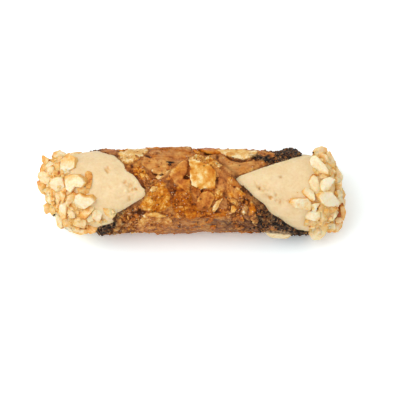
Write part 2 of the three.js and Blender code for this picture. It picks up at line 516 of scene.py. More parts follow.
def new_piece(name: str, mesh: Mesh, smooth: bool) -> Piece:
    """Turns a bmesh into an object at the origin.

    Args:
        name: the piece's name.
        mesh: its mesh in metres, which is freed.
        smooth: whether its faces are shaded smooth.

    Returns:
        The new object.
    """
    for face in mesh.faces:
        face.smooth = smooth
    data = bpy.data.meshes.new(name)
    mesh.to_mesh(data)
    mesh.free()
    piece = bpy.data.objects.new(name, data)
    bpy.context.scene.collection.objects.link(piece)
    return piece


def seat(piece: Piece, finish: Material) -> Piece:
    """Dresses a piece, ties it to the food and reports it.

    Args:
        piece: the finished object.
        finish: its material.

    Returns:
        The same object.
    """
    piece.data.materials.append(finish)
    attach(piece, BODY)
    triangles = sum(len(face.vertices) - 2 for face in piece.data.polygons)
    LOG.info("%s: %d triangles in %s", piece.name, triangles, finish.name)
    return piece


def carried(piece: Piece, name: str) -> Array:
    """The numbers of that name that a piece's vertices carry."""
    values = np.empty(len(piece.data.vertices), dtype=np.float32)
    piece.data.attributes[name].data.foreach_get("value", values)
    return values


def place_vertices(mesh: Mesh, points: Array, **numbers: Array) -> None:
    """Moves a mesh's vertices and gives them numbers.

    Args:
        mesh: the mesh.
        points: the vertices' places in millimetres, in their order.
        numbers: a number for each vertex, by name.
    """
    for vertex, place in zip(mesh.verts, (points * MM).tolist()):
        vertex.co = place
    for name, values in numbers.items():
        layer = mesh.verts.layers.float.new(name)
        for vertex, value in zip(mesh.verts, values.tolist()):
            vertex[layer] = value


def off_floor(part: Mesh) -> None:
    """Lifts a small mesh that reaches below the floor."""
    sunk = max(0.0, -min(vertex.co.z for vertex in part.verts))
    bmesh.ops.translate(part, vec=(0.0, 0.0, sunk), verts=part.verts[:])


def close_up(mesh: Mesh) -> None:
    """Merges a wrapped sheet's seams and turns its faces outwards."""
    bmesh.ops.remove_doubles(mesh, verts=mesh.verts[:], dist=WELD)
    bmesh.ops.recalc_face_normals(mesh, faces=mesh.faces[:])


def grid_places(mesh: Mesh, columns: int, rows: int) -> tuple[Array, Array]:
    """Makes a flat sheet and says where its vertices are.

    Args:
        mesh: an empty mesh that takes the sheet.
        columns: faces across the sheet.
        rows: faces up the sheet.

    Returns:
        For each vertex its share of the way across, and its row.
    """
    bmesh.ops.create_grid(mesh, x_segments=columns, y_segments=rows, size=1.0)
    flat = np.array([vertex.co[:2] for vertex in mesh.verts])
    return (flat[:, 0] + 1) / 2, np.rint((flat[:, 1] + 1) / 2 * rows)


class Graph:
    """A node tree, with a short call for each kind of node."""

    def __init__(self, tree: bpy.types.NodeTree) -> None:
        """Works on that tree."""
        self.tree = tree

    def add(self, kind: str, inputs: dict[str | int, object] | None = None, **settings: object) -> Node:
        """Adds a node.

        Args:
            kind: the node's type, without the prefix of shader nodes.
            inputs: values or sockets for its inputs, by name or number.
            settings: its other properties.

        Returns:
            The new node.
        """
        node = self.tree.nodes.new("ShaderNode" + kind)
        for name, value in settings.items():
            setattr(node, name, value)
        for name, value in (inputs or {}).items():
            self.feed(node.inputs[name], value)
        return node

    def feed(self, socket: Socket, value: object) -> None:
        """Links a socket to another, or sets its value.

        Args:
            socket: an input.
            value: an output, or a plain value.
        """
        if isinstance(value, Socket):
            self.tree.links.new(value, socket)
        else:
            socket.default_value = value

    def math(self, operation: str, *values: object) -> Socket:
        """The result of a sum, product or other operation."""
        return self.add("Math", dict(enumerate(values)), operation=operation).outputs[0]

    def span(self, value: object, low: float, high: float, first: float = 0.0, last: float = 1.0) -> Socket:
        """A value moved from one range into another, smoothly and without overshoot."""
        inputs = {0: value, 1: low, 2: high, 3: first, 4: last}
        return self.add("MapRange", inputs, interpolation_type="SMOOTHSTEP").outputs[0]

    def mix(self, share: object, first: object, second: object) -> Socket:
        """Two colours mixed."""
        return self.add("Mix", {0: share, 6: first, 7: second}, data_type="RGBA").outputs[2]

    def ramp(self, share: object, stops: Ramp) -> Socket:
        """A colour chosen from a row of shades by a share from 0 to 1.

        Args:
            share: which of them.
            stops: the shades and their places.

        Returns:
            The colour.
        """
        node = self.add("ValToRGB", {0: share})
        row = node.color_ramp.elements
        while len(row) < len(stops):
            row.new(1.0)
        for element, (place, shade) in zip(row, stops):
            element.position = place
            element.color = linear(shade)
        return node.outputs[0]

    def number(self, name: str) -> Socket:
        """A number that the mesh's vertices carry."""
        return self.add("Attribute", attribute_name=name).outputs["Fac"]

    def use(self, group: bpy.types.NodeTree, **inputs: object) -> Socket:
        """What a shared effect puts out for its own values."""
        node = self.add("Group", node_tree=group)
        self.dress(node, **inputs)
        return node.outputs[0]

    def dress(self, node: Node, **values: object) -> None:
        """Feeds a node's inputs, with underscores for the spaces in their names."""
        for name, value in values.items():
            self.feed(node.inputs[name.replace("_", " ")], value)


def linear(shade: Shade) -> tuple[float, float, float, float]:
    """A colour as a screen shows it, 0 to 255, turned into light."""
    parts = (part / 255 for part in shade)
    return (*(part / 12.92 if part <= 0.04045 else ((part + 0.055) / 1.055) ** 2.4 for part in parts), 1.0)


class SharedEffects:
    """Node groups that more than one finish uses. Sizes are in millimetres."""

    def __init__(self) -> None:
        """Builds each group once."""
        self.mottle = self.make_mottle()
        self.grain = self.make_grain()
        self.specks_and_glints = self.make_specks()

    def start(self, name: str, inputs: dict[str, float], output: str) -> tuple[Graph, Node, Node]:
        """Starts a group with number inputs and one number output.

        Args:
            name: the group's name.
            inputs: its inputs with their usual values.
            output: its output's name.

        Returns:
            The group's graph, its input node and its output node.
        """
        tree = bpy.data.node_groups.new(name, "ShaderNodeTree")
        for label, usual in inputs.items():
            socket = tree.interface.new_socket(label, in_out="INPUT", socket_type="NodeSocketFloat")
            socket.default_value = usual
        tree.interface.new_socket(output, in_out="OUTPUT", socket_type="NodeSocketFloat")
        return Graph(tree), tree.nodes.new("NodeGroupInput"), tree.nodes.new("NodeGroupOutput")

    def scale(self, graph: Graph, size: Socket) -> Socket:
        """A texture's scale from the size of its lumps."""
        return graph.math("DIVIDE", 1 / MM, size)

    def place(self, graph: Graph) -> Socket:
        """The place on the food."""
        return graph.add("TexCoord").outputs["Object"]

    def make_mottle(self) -> bpy.types.NodeTree:
        """A tone that wanders by an amount over lumps of a size.

        Returns:
            The group.
        """
        graph, given, out = self.start("mottle", {"Tone": 0.5, "Size": 2.0, "Amount": 0.2}, "Tone")
        scale = self.scale(graph, given.outputs["Size"])
        inputs = {"Vector": self.place(graph), "Scale": scale, "Detail": 4.0, "Roughness": 0.6}
        lumps = graph.add("TexNoise", inputs)
        drift = graph.math("MULTIPLY", graph.math("SUBTRACT", lumps.outputs[0], 0.5), 2.0)
        amount, tone = given.outputs["Amount"], given.outputs["Tone"]
        graph.feed(out.inputs[0], graph.math("MULTIPLY_ADD", drift, amount, tone))
        return graph.tree

    def make_grain(self) -> bpy.types.NodeTree:
        """Heights of a fine, crumbly grain.

        Returns:
            The group.
        """
        graph, given, out = self.start("grain", {"Size": 0.6, "Crumble": 0.5}, "Height")
        scale = self.scale(graph, given.outputs["Size"])
        place = self.place(graph)
        inputs = {"Vector": place, "Scale": scale}
        soft = graph.add("TexNoise", {**inputs, "Detail": 5.0, "Roughness": 0.65}).outputs[0]
        lumps = graph.add("TexVoronoi", inputs, feature="SMOOTH_F1")
        rough = graph.math("SUBTRACT", 1.0, lumps.outputs["Distance"])
        more = graph.math("SUBTRACT", rough, soft)
        graph.feed(out.inputs[0], graph.math("MULTIPLY_ADD", more, given.outputs["Crumble"], soft))
        return graph.tree

    def make_specks(self) -> bpy.types.NodeTree:
        """A mask of scattered specks, which cover about a share of the surface.

        Returns:
            The group.
        """
        graph, given, out = self.start("specks_and_glints", {"Size": 1.0, "Share": 0.2}, "Mask")
        scale = self.scale(graph, given.outputs["Size"])
        cells = graph.add("TexVoronoi", {"Vector": self.place(graph), "Scale": scale})
        chosen = graph.add("SeparateColor", {0: cells.outputs["Color"]})
        kept = graph.math("LESS_THAN", chosen.outputs[0], given.outputs["Share"])
        spot = graph.span(cells.outputs["Distance"], 0.2, 0.5, 1.0, 0.0)
        graph.feed(out.inputs[0], graph.math("MULTIPLY", kept, spot))
        return graph.tree


def new_finish(name: str) -> tuple[Material, Graph, Node]:
    """Starts a material.

    Args:
        name: the finish's name.

    Returns:
        The material, its graph and its shader.
    """
    material = bpy.data.materials.new(name)
    material.use_nodes = True
    graph = Graph(material.node_tree)
    return material, graph, material.node_tree.nodes["Principled BSDF"]


@dataclass(frozen=True)
class Mottle:
    """How a tone wanders: over lumps of a size, and by how much."""

    size: float
    amount: float

    def over(self, tone: object, graph: Graph, shared: SharedEffects) -> Socket:
        """Lets a tone wander."""
        return graph.use(shared.mottle, Tone=tone, Size=self.size, Amount=self.amount)


@dataclass(frozen=True)
class Grain:
    """A fine relief: the size of its grains, how crumbly and high they are, and how strongly they show."""

    size: float
    crumble: float
    height: float
    strength: float

    def heights(self, graph: Graph, shared: SharedEffects) -> Socket:
        """The relief as heights from 0 to 1."""
        return graph.use(shared.grain, Size=self.size, Crumble=self.crumble)

    def normals(self, graph: Graph, heights: Socket) -> Socket:
        """The relief as normals."""
        inputs = {"Strength": self.strength, "Distance": self.height * MM, "Height": heights}
        return graph.add("Bump", inputs).outputs[0]


@dataclass(frozen=True)
class Scatter:
    """How much light goes into the food, and how far for red, green and blue."""

    share: float
    reach: Triple

    def values(self) -> dict[str, object]:
        """The shader's values for it."""
        reach = tuple(part * MM for part in self.reach)
        return {"Subsurface_Weight": self.share, "Subsurface_Radius": reach, "Subsurface_Scale": 1.0}


@dataclass(frozen=True)
class Specks:
    """Specks of another shade, more of them where the crust is crushed: dark specks, and pale ones that are
    painted glints.
    """

    size: float
    crushed: Pair
    share: Pair
    strength: float
    shade: Shade

    def over(self, colour: Socket, crumb: Socket, graph: Graph, shared: SharedEffects) -> Socket:
        """Lays the specks over a colour."""
        mask = graph.use(shared.specks_and_glints, Size=self.size, Share=graph.span(crumb, *self.crushed, *self.share))
        return graph.mix(graph.math("MULTIPLY", mask, self.strength), colour, linear(self.shade))


@dataclass(frozen=True)
class Fibres:
    """Fibres along the tube, by the noise at which one begins and shows fully, and by their shade."""

    seen: Pair
    shade: Shade
    drawn: Triple = (0.2, 1.0, 1.0)
    width: float = 0.9

    def over(self, colour: Socket, graph: Graph) -> Socket:
        """Lays the fibres over a colour, as far as the number grey says.

        Args:
            colour: the colour under them.
            graph: the material's nodes.

        Returns:
            The colour with the fibres.
        """
        place = graph.add("TexCoord").outputs["Object"]
        drawn = graph.add("VectorMath", {0: place, 1: self.drawn}, operation="MULTIPLY").outputs[0]
        inputs = {"Vector": drawn, "Scale": 1 / (self.width * MM), "Detail": 3.0}
        lines = graph.span(graph.add("TexNoise", inputs).outputs["Fac"], *self.seen)
        return graph.mix(graph.math("MULTIPLY", lines, graph.number("grey")), colour, linear(self.shade))


@dataclass(frozen=True)
class CrustFinish:
    """Fried pastry: brown to golden by tone, with painted shade in crevices and painted glints; black and
    gritty where it burnt.
    """

    name: str = "fried_crust"
    dough: Ramp = (
        (0.0, (84, 44, 18)),
        (0.2, (138, 82, 40)),
        (0.4, (181, 115, 62)),
        (0.55, (202, 139, 78)),
        (0.7, (218, 162, 92)),
        (0.85, (233, 190, 122)),
        (1.0, (250, 232, 192)),
    )
    caramel: Ramp = (
        (0.0, (72, 30, 4)),
        (0.2, (126, 58, 8)),
        (0.4, (182, 92, 14)),
        (0.55, (208, 120, 24)),
        (0.7, (227, 151, 50)),
        (0.85, (241, 187, 98)),
        (1.0, (250, 221, 158)),
    )
    burnt: Ramp = (
        (0.0, (21, 18, 17)),
        (0.38, (45, 36, 30)),
        (0.66, (90, 69, 51)),
        (1.0, (176, 134, 94)),
    )
    # Size of lumps, and how far the tone wanders where the crust is smooth and where it is crushed
    mottles: tuple[Triple, ...] = ((2.2, 0.14, 0.42), (0.8, 0.24, 0.66))
    specks_and_glints: tuple[Specks, ...] = (
        Specks(1.3, (0.0, 1.0), (0.04, 0.16), 0.6, (66, 34, 13)),
        # Painted glints: small pale highlights
        Specks(0.65, (0.1, 0.8), (0.0, 0.15), 0.55, (253, 230, 198)),
    )
    fibres: tuple[Fibres, ...] = (Fibres((0.46, 0.6), (126, 92, 78)), Fibres((0.44, 0.34), (206, 150, 98)))
    # Colour and strength of the painted shade in crevices, gaps and under raised edges
    crevice: Shade = (80, 40, 12)
    crevice_share: float = 0.85
    burnt_tone: float = 0.8
    grit: Mottle = Mottle(0.8, 1.2)
    roughness: Pair = (0.55, 0.24)
    wear: Mottle = Mottle(1.2, 0.2)
    grain: Grain = Grain(0.9, 0.5, 0.4, 1.0)
    crushed: Pair = (0.0, 0.8)
    relief: Pair = (0.35, 1.0)
    shine: float = 0.08
    scatter: Scatter = Scatter(0.12, (1.0, 0.45, 0.15))

    def material(self, shared: SharedEffects) -> Material:
        """Builds the material.

        Args:
            shared: the shared effects.

        Returns:
            The material, which reads the numbers tone, caramel, crumb, crevice, burn and grey.
        """
        material, graph, shader = new_finish(self.name)
        given, caramel, crumb = (graph.number(name) for name in ("tone", "caramel", "crumb"))
        tone = given
        for size, *amounts in self.mottles:
            amount = graph.span(crumb, 0.0, 1.0, *amounts)
            tone = graph.use(shared.mottle, Tone=tone, Size=size, Amount=amount)
        colour = graph.mix(caramel, graph.ramp(tone, self.dough), graph.ramp(tone, self.caramel))
        for specks_and_glints in self.specks_and_glints:
            colour = specks_and_glints.over(colour, crumb, graph, shared)
        for fibres in self.fibres:
            colour = fibres.over(colour, graph)
        # Painted shade: the colour darkens where the number crevice says
        shaded = graph.math("MULTIPLY", graph.number("crevice"), self.crevice_share)
        colour = graph.mix(shaded, colour, linear(self.crevice))
        grit = self.grit.over(graph.math("MULTIPLY", given, self.burnt_tone), graph, shared)
        colour = graph.mix(graph.number("burn"), colour, graph.ramp(grit, self.burnt))
        rough = self.wear.over(graph.span(caramel, 0.0, 1.0, *self.roughness), graph, shared)
        relief = graph.span(crumb, *self.crushed, *self.relief)
        heights = graph.math("MULTIPLY", self.grain.heights(graph, shared), relief)
        normals = self.grain.normals(graph, heights)
        graph.dress(shader, Base_Color=colour, Roughness=rough, Normal=normals, **self.scatter.values())
        graph.dress(shader, Specular_IOR_Level=self.shine)
        return material


@dataclass(frozen=True)
class CreamFinish:
    """Smooth tan cream with faint smears, and a deeper golden colour painted in its pits and hollows as their
    shade.
    """

    name: str = "tan_cream"
    tones: Ramp = (
        (0.0, (229, 196, 140)),
        (0.5, (240, 212, 163)),
        (1.0, (248, 227, 187)),
    )
    tone: float = 0.5
    lumps: Mottle = Mottle(4.0, 0.5)
    smears: Mottle = Mottle(1.0, 0.35)
    # Painted shade: the golden colour in pits and other hollows
    pit: Shade = (221, 160, 76)
    coated: Shade = (244, 208, 144)
    coat_shown: Pair = (0.4, 1.0)
    roughness: float = 0.5
    wear: Mottle = Mottle(2.0, 0.1)
    grain: Grain = Grain(1.1, 0.2, 0.3, 0.3)
    scatter: Scatter = Scatter(0.35, (2.2, 1.2, 0.6))

    def material(self, shared: SharedEffects) -> Material:
        """Builds the material.

        Args:
            shared: the shared effects.

        Returns:
            The material, which reads the numbers pit and coat.
        """
        material, graph, shader = new_finish(self.name)
        tone = self.smears.over(self.lumps.over(self.tone, graph, shared), graph, shared)
        colour = graph.mix(graph.number("pit"), graph.ramp(tone, self.tones), linear(self.pit))
        colour = graph.mix(graph.span(graph.number("coat"), *self.coat_shown), colour, linear(self.coated))
        rough = self.wear.over(self.roughness, graph, shared)
        normals = self.grain.normals(graph, self.grain.heights(graph, shared))
        graph.dress(shader, Base_Color=colour, Roughness=rough, Normal=normals, **self.scatter.values())
        return material


@dataclass(frozen=True)
class NutFinish:
    """Toasted nut: ivory where it is chopped through, tan to amber towards its skin and where shade is
    painted in creases.
    """

    name: str = "toasted_nut"
    tones: Ramp = (
        (0.0, (172, 84, 14)),
        (0.14, (212, 128, 36)),
        (0.28, (233, 166, 72)),
        (0.45, (240, 191, 111)),
        (0.7, (247, 217, 163)),
        (1.0, (253, 238, 205)),
    )
    lumps: Mottle = Mottle(2.4, 0.44)
    flecks: Mottle = Mottle(0.8, 0.36)
    roughness: float = 0.5
    wear: Mottle = Mottle(1.5, 0.12)
    grain: Grain = Grain(0.9, 0.35, 0.3, 0.5)
    scatter: Scatter = Scatter(0.45, (1.6, 0.9, 0.4))

    def material(self, shared: SharedEffects) -> Material:
        """Builds the material.

        Args:
            shared: the shared effects.

        Returns:
            The material, which reads the number tone.
        """
        material, graph, shader = new_finish(self.name)
        tone = self.flecks.over(self.lumps.over(graph.number("tone"), graph, shared), graph, shared)
        colour = graph.ramp(tone, self.tones)
        rough = self.wear.over(self.roughness, graph, shared)
        normals = self.grain.normals(graph, self.grain.heights(graph, shared))
        graph.dress(shader, Base_Color=colour, Roughness=rough, Normal=normals, **self.scatter.values())
        return material


@dataclass(frozen=True)
class Lap:
    """The dough's outer corner, which laps over the tube as a rounded lobe."""

    along: float = 3.0
    turn: float = 123.0
    slope: float = 2.85
    round: float = 2.5
    height: float = 1.3
    edge: float = 4.0
    fade: Pair = (35.0, 80.0)

    def inside(self, along: Array, turn: Array) -> Array:
        """Degrees from the lobe's edge, positive under the lobe."""
        edge = self.turn - self.slope * (np.hypot(along - self.along, self.round) - self.round)
        return signed_turn(edge - turn)

    def rise(self, along: Array, turn: Array) -> Array:
        """How far the lobe stands proud."""
        inside = self.inside(along, turn)
        return self.height * ease(inside, 0.0, self.edge) * (1 - ease(inside, *self.fade))


@dataclass(frozen=True)
class Hump:
    """A soft rise or hollow of the wall, by its place along and round the tube."""

    along: float
    turn: float
    size: float
    height: float

    def rise(self, along: Array, turn: Array, radius: float) -> Array:
        """How far the wall stands out at some places."""
        arc = np.radians(signed_turn(turn - self.turn)) * radius
        return self.height * np.exp(-((np.hypot(along - self.along, arc) / self.size) ** 2))


@dataclass(frozen=True)
class Sheet:
    """A sheet of dough, a crush of caramel or a dark band of painted shade on the wall, by its outline in the
    photograph.

    Tone, caramel and crumb go from 0 to 1: dark to pale, plain dough to caramel, smooth to crushed. Height is
    how proud the sheet stands, and rim how much paler its edge is.
    """

    outline: tuple[Pixel, ...]
    tone: float
    caramel: float
    crumb: float
    height: float = 0.2
    rim: float = 0.0
    grey: float = 0.0


@dataclass(frozen=True)
class Flake:
    """A large flake baked onto the crust, by its outline in the photograph."""

    outline: tuple[Pixel, ...]
    tone: Fried
    caramel: float = 0.4
    crumb: float = 0.2
    thickness: float = 1.0
    proud: float = 0.7
    curl: float = 0.3
    rim: float = 0.1
    wavy: float = 1.0
    blotchy: float = 0.15
    hang: float = 0.0


@dataclass(frozen=True)
class Grit:
    """Grains on the crust where it is burnt within bounds: how many, their radii, tones and own burn."""

    count: int
    where: Pair
    radius: Pair
    tone: Pair
    burn: float


@dataclass(frozen=True)
class PastryShell:
    """The fried tube: a crusted wall, the flakes baked onto it, and grit where it burnt."""

    tube: Tube
    view: PhotoView
    sheets: tuple[Sheet, ...]
    flakes: tuple[Flake, ...]
    lap: Lap = Lap()
    plain: Sheet = Sheet((), 0.46, 0.3, 0.35)
    columns: int = 320
    outer_rows: int = 272
    face_rows: int = 4
    bore_rows: int = 6
    lump: float = 0.45
    fold: float = 0.5
    plate: float = 0.6
    chunk: float = 0.75
    grain: float = 0.34
    streak: float = 0.16
    ragged: float = 1.6
    plate_size: float = 6.2
    chunk_size: float = 2.4
    grain_size: float = 1.2
    pit_depth: float = 0.7
    gap_depth: float = 0.35
    rim_drop: float = 0.6
    rim_width: float = 1.4
    bulge: float = 0.4
    # Height over the crust at which a flake is clear of the char
    loose: Pair = (1.3, 2.1)
    hanging: Pair = (0.5, 1.0)
    # Faces of a flake, level of its outline, and size and amount of its waves
    flake_step: float = 0.45
    flake_cut: float = 1e-4
    flake_level: float = 0.8
    flake_waves: tuple[Pair, ...] = ((3.0, 0.7), (1.1, 0.3))
    # Small flakes: where they lie, how far from rims and from large ones, and their sizes
    small_flakes: int = 120
    small_turn: Pair = (-65.0, 245.0)
    small_along: Pair = (-50.0, 50.0)
    small_room: float = 2.5
    small_gap: float = 4.5
    small_length: Pair = (1.6, 4.2)
    small_growth: float = 1.15
    small_width: Pair = (0.45, 0.9)
    small_corners: int = 7
    small_least: float = 1.0
    small_tone: Pair = (0.32, 0.56)
    flake_seed: int = 41
    grits: tuple[Grit, ...] = (
        Grit(900, (0.6, 1.1), (0.25, 0.65), (0.1, 0.7), 0.85),
        Grit(500, (-0.1, 0.3), (0.22, 0.5), (0.3, 0.75), 0.0),
    )
    grit_bed: float = 1.2
    grit_width: Pair = (0.5, 1.0)
    grit_height: Pair = (0.4, 0.8)
    grit_char: Pair = (0.4, 1.3)
    grit_seed: int = 77
    # Width of the burnt band along each rim, by turn
    burn_right: tuple[Pair, ...] = (
        (-90, 11), (-60, 15), (-25, 18), (0, 14.5), (20, 7.5), (40, 2.2), (60, 0.8),
        (88, 0.4), (98, 0.8), (104, 3), (107, 6), (112, 10.5), (118, 12.5), (126, 13.5),
        (140, 12.5), (170, 7), (270, 10),
    )
    burn_left: tuple[Pair, ...] = (
        (-90, 6), (-30, 7), (0, 6), (20, 2.4), (40, 0.8), (63, 0.4), (110, 0.5),
        (140, 0.4), (180, 4), (270, 6),
    )
    # Dented and darkened patches: pits and cracks, and the painted shadows that flakes cast on the wall
    pit_and_shadow_patches: tuple[Patch, ...] = (
        Patch((132, 165.5), (1.8, 1.8), 0, 0.7),
        Patch((148, 156), (5, 1.5), -25, 0.4),
        Patch((156, 174), (3, 1.1), -12, 0.9),
        Patch((162, 174.6), (3.4, 1.1), 18, 0.9),
        Patch((186.5, 178.8), (3.2, 1.6), 0, 0.6),
        Patch((202, 191), (1.2, 2), 0, 0.8),
        Patch((207, 154), (3.6, 1.5), 0, 0.5),
        Patch((217.5, 157), (1.8, 2), 0, 0.6),
        Patch((217.3, 180), (1.2, 7), 0, 0.4),
        Patch((234.5, 187), (1.5, 1.2), 0, 0.7),
        Patch((141, 210.5), (5, 2), 0, 0.7),
        Patch((138, 187), (2.6, 8), 40, 0.3),
        Patch((216, 212), (3, 2), 0, 0.4),
        Patch((224, 194), (1.6, 3.4), 0, 0.3),
        Patch((229, 157.5), (5, 1.1), -28, 0.6),
        Patch((241, 160.6), (8, 1.1), -4, 0.7),
        Patch((253, 159.2), (5, 1.1), 24, 0.6),
        Patch((175, 191), (1.5, 1.2), 0, 0.5),
    )
    sooty_patches: tuple[Patch, ...] = (
        Patch((212, 224), (7, 4), 20, 0.3),
        Patch((226, 222), (6, 5), 0, 0.4),
        Patch((247, 224), (22, 7), 10, 0.45),
        Patch((116, 231), (14, 5), 0, 0.35),
        Patch((168.5, 162.4), (2.4, 1.2), 0, 1),
        Patch((172.5, 162.4), (2.6, 1), 0, 1),
        Patch((169.8, 164.6), (1.3, 2), 0, 1),
        Patch((226, 197), (1.2, 1.2), 0, 0.9),
        Patch((152, 183.5), (3, 1.4), 20, 0.5),
    )
    humps: tuple[Hump, ...] = (
        Hump(40.5, 152, 3.5, 1),
        Hump(31.5, 152, 5.5, -0.9),
        Hump(45.5, 150, 3, -1.8),
        Hump(0.5, 155, 1.2, -0.8),
        Hump(-9, -25, 9, 1),
    )

    def lumps(self, along: Array, turn: Array) -> Array:
        """Radius of the crust without its scraps.

        Args:
            along: distances from the tube's middle.
            turn: angles about it.

        Returns:
            One radius for each place.
        """
        points = self.tube.point(along, turn, np.full_like(along, self.tube.radius))
        humps = sum(hump.rise(along, turn, self.tube.radius) for hump in self.humps)
        lumps = self.lump * fractal(points, 9.0, 3, 3.1)
        return self.tube.radius + humps + self.lap.rise(along, turn) + lumps

    def burnt(self, along: Array, turn: Array, points: Array) -> Array:
        """How burnt the crust is along its rims, from 0 to 1.

        Args:
            along: distances from the tube's middle.
            turn: angles about it.
            points: the same places as points.

        Returns:
            One share for each place.
        """
        angle = np.mod(turn + 90.0, 360.0) - 90.0
        uneven = 1 + 0.9 * fractal(points, 5.0, 3, 11.0)
        broken = 3.6 * fractal(points, 1.6, 3, 17.0)
        burn = np.zeros_like(along)
        for mouth, band in ((self.tube.left, self.burn_left), (self.tube.right, self.burn_right)):
            width = np.interp(angle, *zip(*band)) * uneven
            inward = mouth.reach(turn) - mouth.facing * along
            edge = width - inward + broken * np.minimum(width / 4, 1.0)
            burn = np.maximum(burn, ease(edge, -2.5, 3.0))
        return burn

    def streaks(self, along: Array, turn: Array) -> Array:
        """Fine ridges along the way the dough was rolled, which fade underneath.

        Args:
            along: distances from the tube's middle.
            turn: angles about it.

        Returns:
            Heights about 0.
        """
        arc = np.radians(turn) * self.tube.radius
        lapped = ease(self.lap.inside(along, turn), -4.0, 6.0)
        slant = np.radians(-48.0 * np.tanh((along - self.lap.along) / 6.0)) * lapped
        along_ridge = along * np.cos(slant) + arc * np.sin(slant)
        across = arc * np.cos(slant) - along * np.sin(slant)
        drawn = np.stack((along_ridge * 0.14, across, np.zeros_like(across)), axis=1)
        return fractal(drawn, 1.3, 3, 21.0) * ease(np.sin(np.radians(turn)), -0.95, -0.7)

    def looks(self, points: Array, normals: Array) -> dict[str, Array]:
        """What the wall is like: as photographed in front, and of the same kinds elsewhere.

        Args:
            points: places on the wall.
            normals: directions out of the tube.

        Returns:
            The numbers tone, caramel, crumb, height, crevice and grey at each place.
        """
        hidden = 1 - ease(normals @ self.view.back, -0.2, 0.1)
        broad = ease(fractal(points, 13.0, 2, 5.0), -0.2, 0.2)
        looks = {
            "tone": self.plain.tone + 0.2 * fractal(points, 6.0, 3, 8.0) + 0.08 * hidden * broad,
            "caramel": self.plain.caramel + 0.5 * hidden * broad + 0.6 * fractal(points, 5.0, 2, 4.0),
            "crumb": lerp(self.plain.crumb, 0.1 + 0.8 * broad, hidden),
            "height": 0.4 * hidden * broad,
            "crevice": np.zeros(len(points)),
            "grey": 0.3 * hidden * (1 - broad),
        }
        looks["caramel"] = np.clip(looks["caramel"], 0, 1)
        warp = wander(points, 1.9, 3, (41.0, 42.0))
        pixels = self.view.project(points) + self.ragged * warp
        shown = ease(normals @ self.view.back, -0.1, 0.15)
        mottle = 0.16 * fractal(points, 3.0, 2, 8.0)
        glaze = 0.6 * fractal(points, 3.4, 2, 14.0)
        for sheet in self.sheets:
            depth = outline_depth(sheet.outline, pixels)
            cover = ease(depth, -0.6, 0.6) * shown
            rim = sheet.rim * np.exp(-(((depth - 1.0) / 1.2) ** 2))
            own = {"tone": sheet.tone + rim + mottle, "crumb": sheet.crumb, "grey": sheet.grey}
            own["caramel"] = np.clip(sheet.caramel + glaze, 0, 1)
            for name, value in own.items():
                looks[name] = lerp(looks[name], value, cover)
            # Painted shadow along the outside of a sheet that stands higher than the wall around it
            step = sheet.height - looks["height"]
            outside = np.exp(-(((depth + 1.3) / 0.9) ** 2)) * shown * ease(step, 0.0, 0.7)
            looks["crevice"] = np.maximum(looks["crevice"] * (1 - cover), 0.7 * outside)
            looks["height"] = lerp(looks["height"], sheet.height, ease(depth, -0.4, 1.4) * shown)
        return looks

    def surface(self, along: Array, turn: Array) -> tuple[Array, dict[str, Array]]:
        """The crust's radius and the numbers that colour it.

        Args:
            along: distances from the tube's middle.
            turn: angles about it.

        Returns:
            The radius at each place, and the numbers tone, caramel, crumb, crevice, burn and grey.
        """
        points = self.tube.point(along, turn, np.full_like(along, self.tube.radius))
        normals = self.tube.outward(turn)
        looks = self.looks(points, normals)
        lumpy = ease(looks["crumb"], 0.15, 0.9)
        rough = 0.2 + 0.8 * lumpy
        plates = scraps(points, self.plate_size, 2.0)
        chunks = scraps(points, self.chunk_size, 9.0)
        grains = scraps(points, self.grain_size, 31.0, 0.2)
        streak = self.streaks(along, turn) * (1 - 0.8 * lumpy)
        soot = patchwork(self.sooty_patches, self.view, points, normals)
        # Pits and cracks, and painted shadows under flakes: dented here and darkened in the tone below
        pits = patchwork(self.pit_and_shadow_patches, self.view, points, normals)
        burn = np.clip(self.burnt(along, turn, points) + soot, 0, 1)
        folds = self.fold * fractal(points, 4.5, 2, 27.0) * (1 - lumpy)
        radius = self.lumps(along, turn) + folds + looks["height"]
        radius += self.streak * streak - self.pit_depth * pits
        radius += self.plate * rough * (plates.number - 0.5 + 1.2 * plates.lean)
        radius += self.chunk * lumpy * ((0.2 + chunks.number) * chunks.lumps(0.5) - 0.4)
        gritty = 0.15 + 0.85 * lumpy + burn
        radius += self.grain * gritty * ((0.3 + grains.number) * grains.lumps(0.6) - 0.4)
        radius -= self.gap_depth * (1 - plates.lumps(0.1)) * lumpy
        # Ridges and the middles of chunks are paler and chunk edges darker: painted light and shade that
        # follow the relief
        tone = looks["tone"] + 0.19 * streak - pits
        tone += lumpy * (0.26 * (chunks.number - 0.5) + 0.26 * (chunks.lumps(0.5) - 0.55))
        tone += rough * (0.1 * (plates.number - 0.5) + 0.26 * (grains.number - 0.5))
        tone += burn * 0.8 * (grains.number - 0.5)
        # Painted shade in the gaps between plates and chunks, and in a band under the lap's edge
        gap_shade = (1 - plates.lumps(0.08)) * lumpy * 0.5 + (1 - chunks.lumps(0.2)) * lumpy * 0.45
        under_lap_shade = np.exp(-(((self.lap.inside(along, turn) + 1.5) / 1.8) ** 2))
        return radius, {
            "tone": np.clip(tone, 0.02, 0.95),
            "caramel": looks["caramel"],
            "crumb": looks["crumb"],
            "crevice": np.clip(gap_shade + looks["crevice"] + 0.35 * under_lap_shade * (1 - lumpy), 0, 1),
            "burn": burn,
            "grey": looks["grey"],
        }

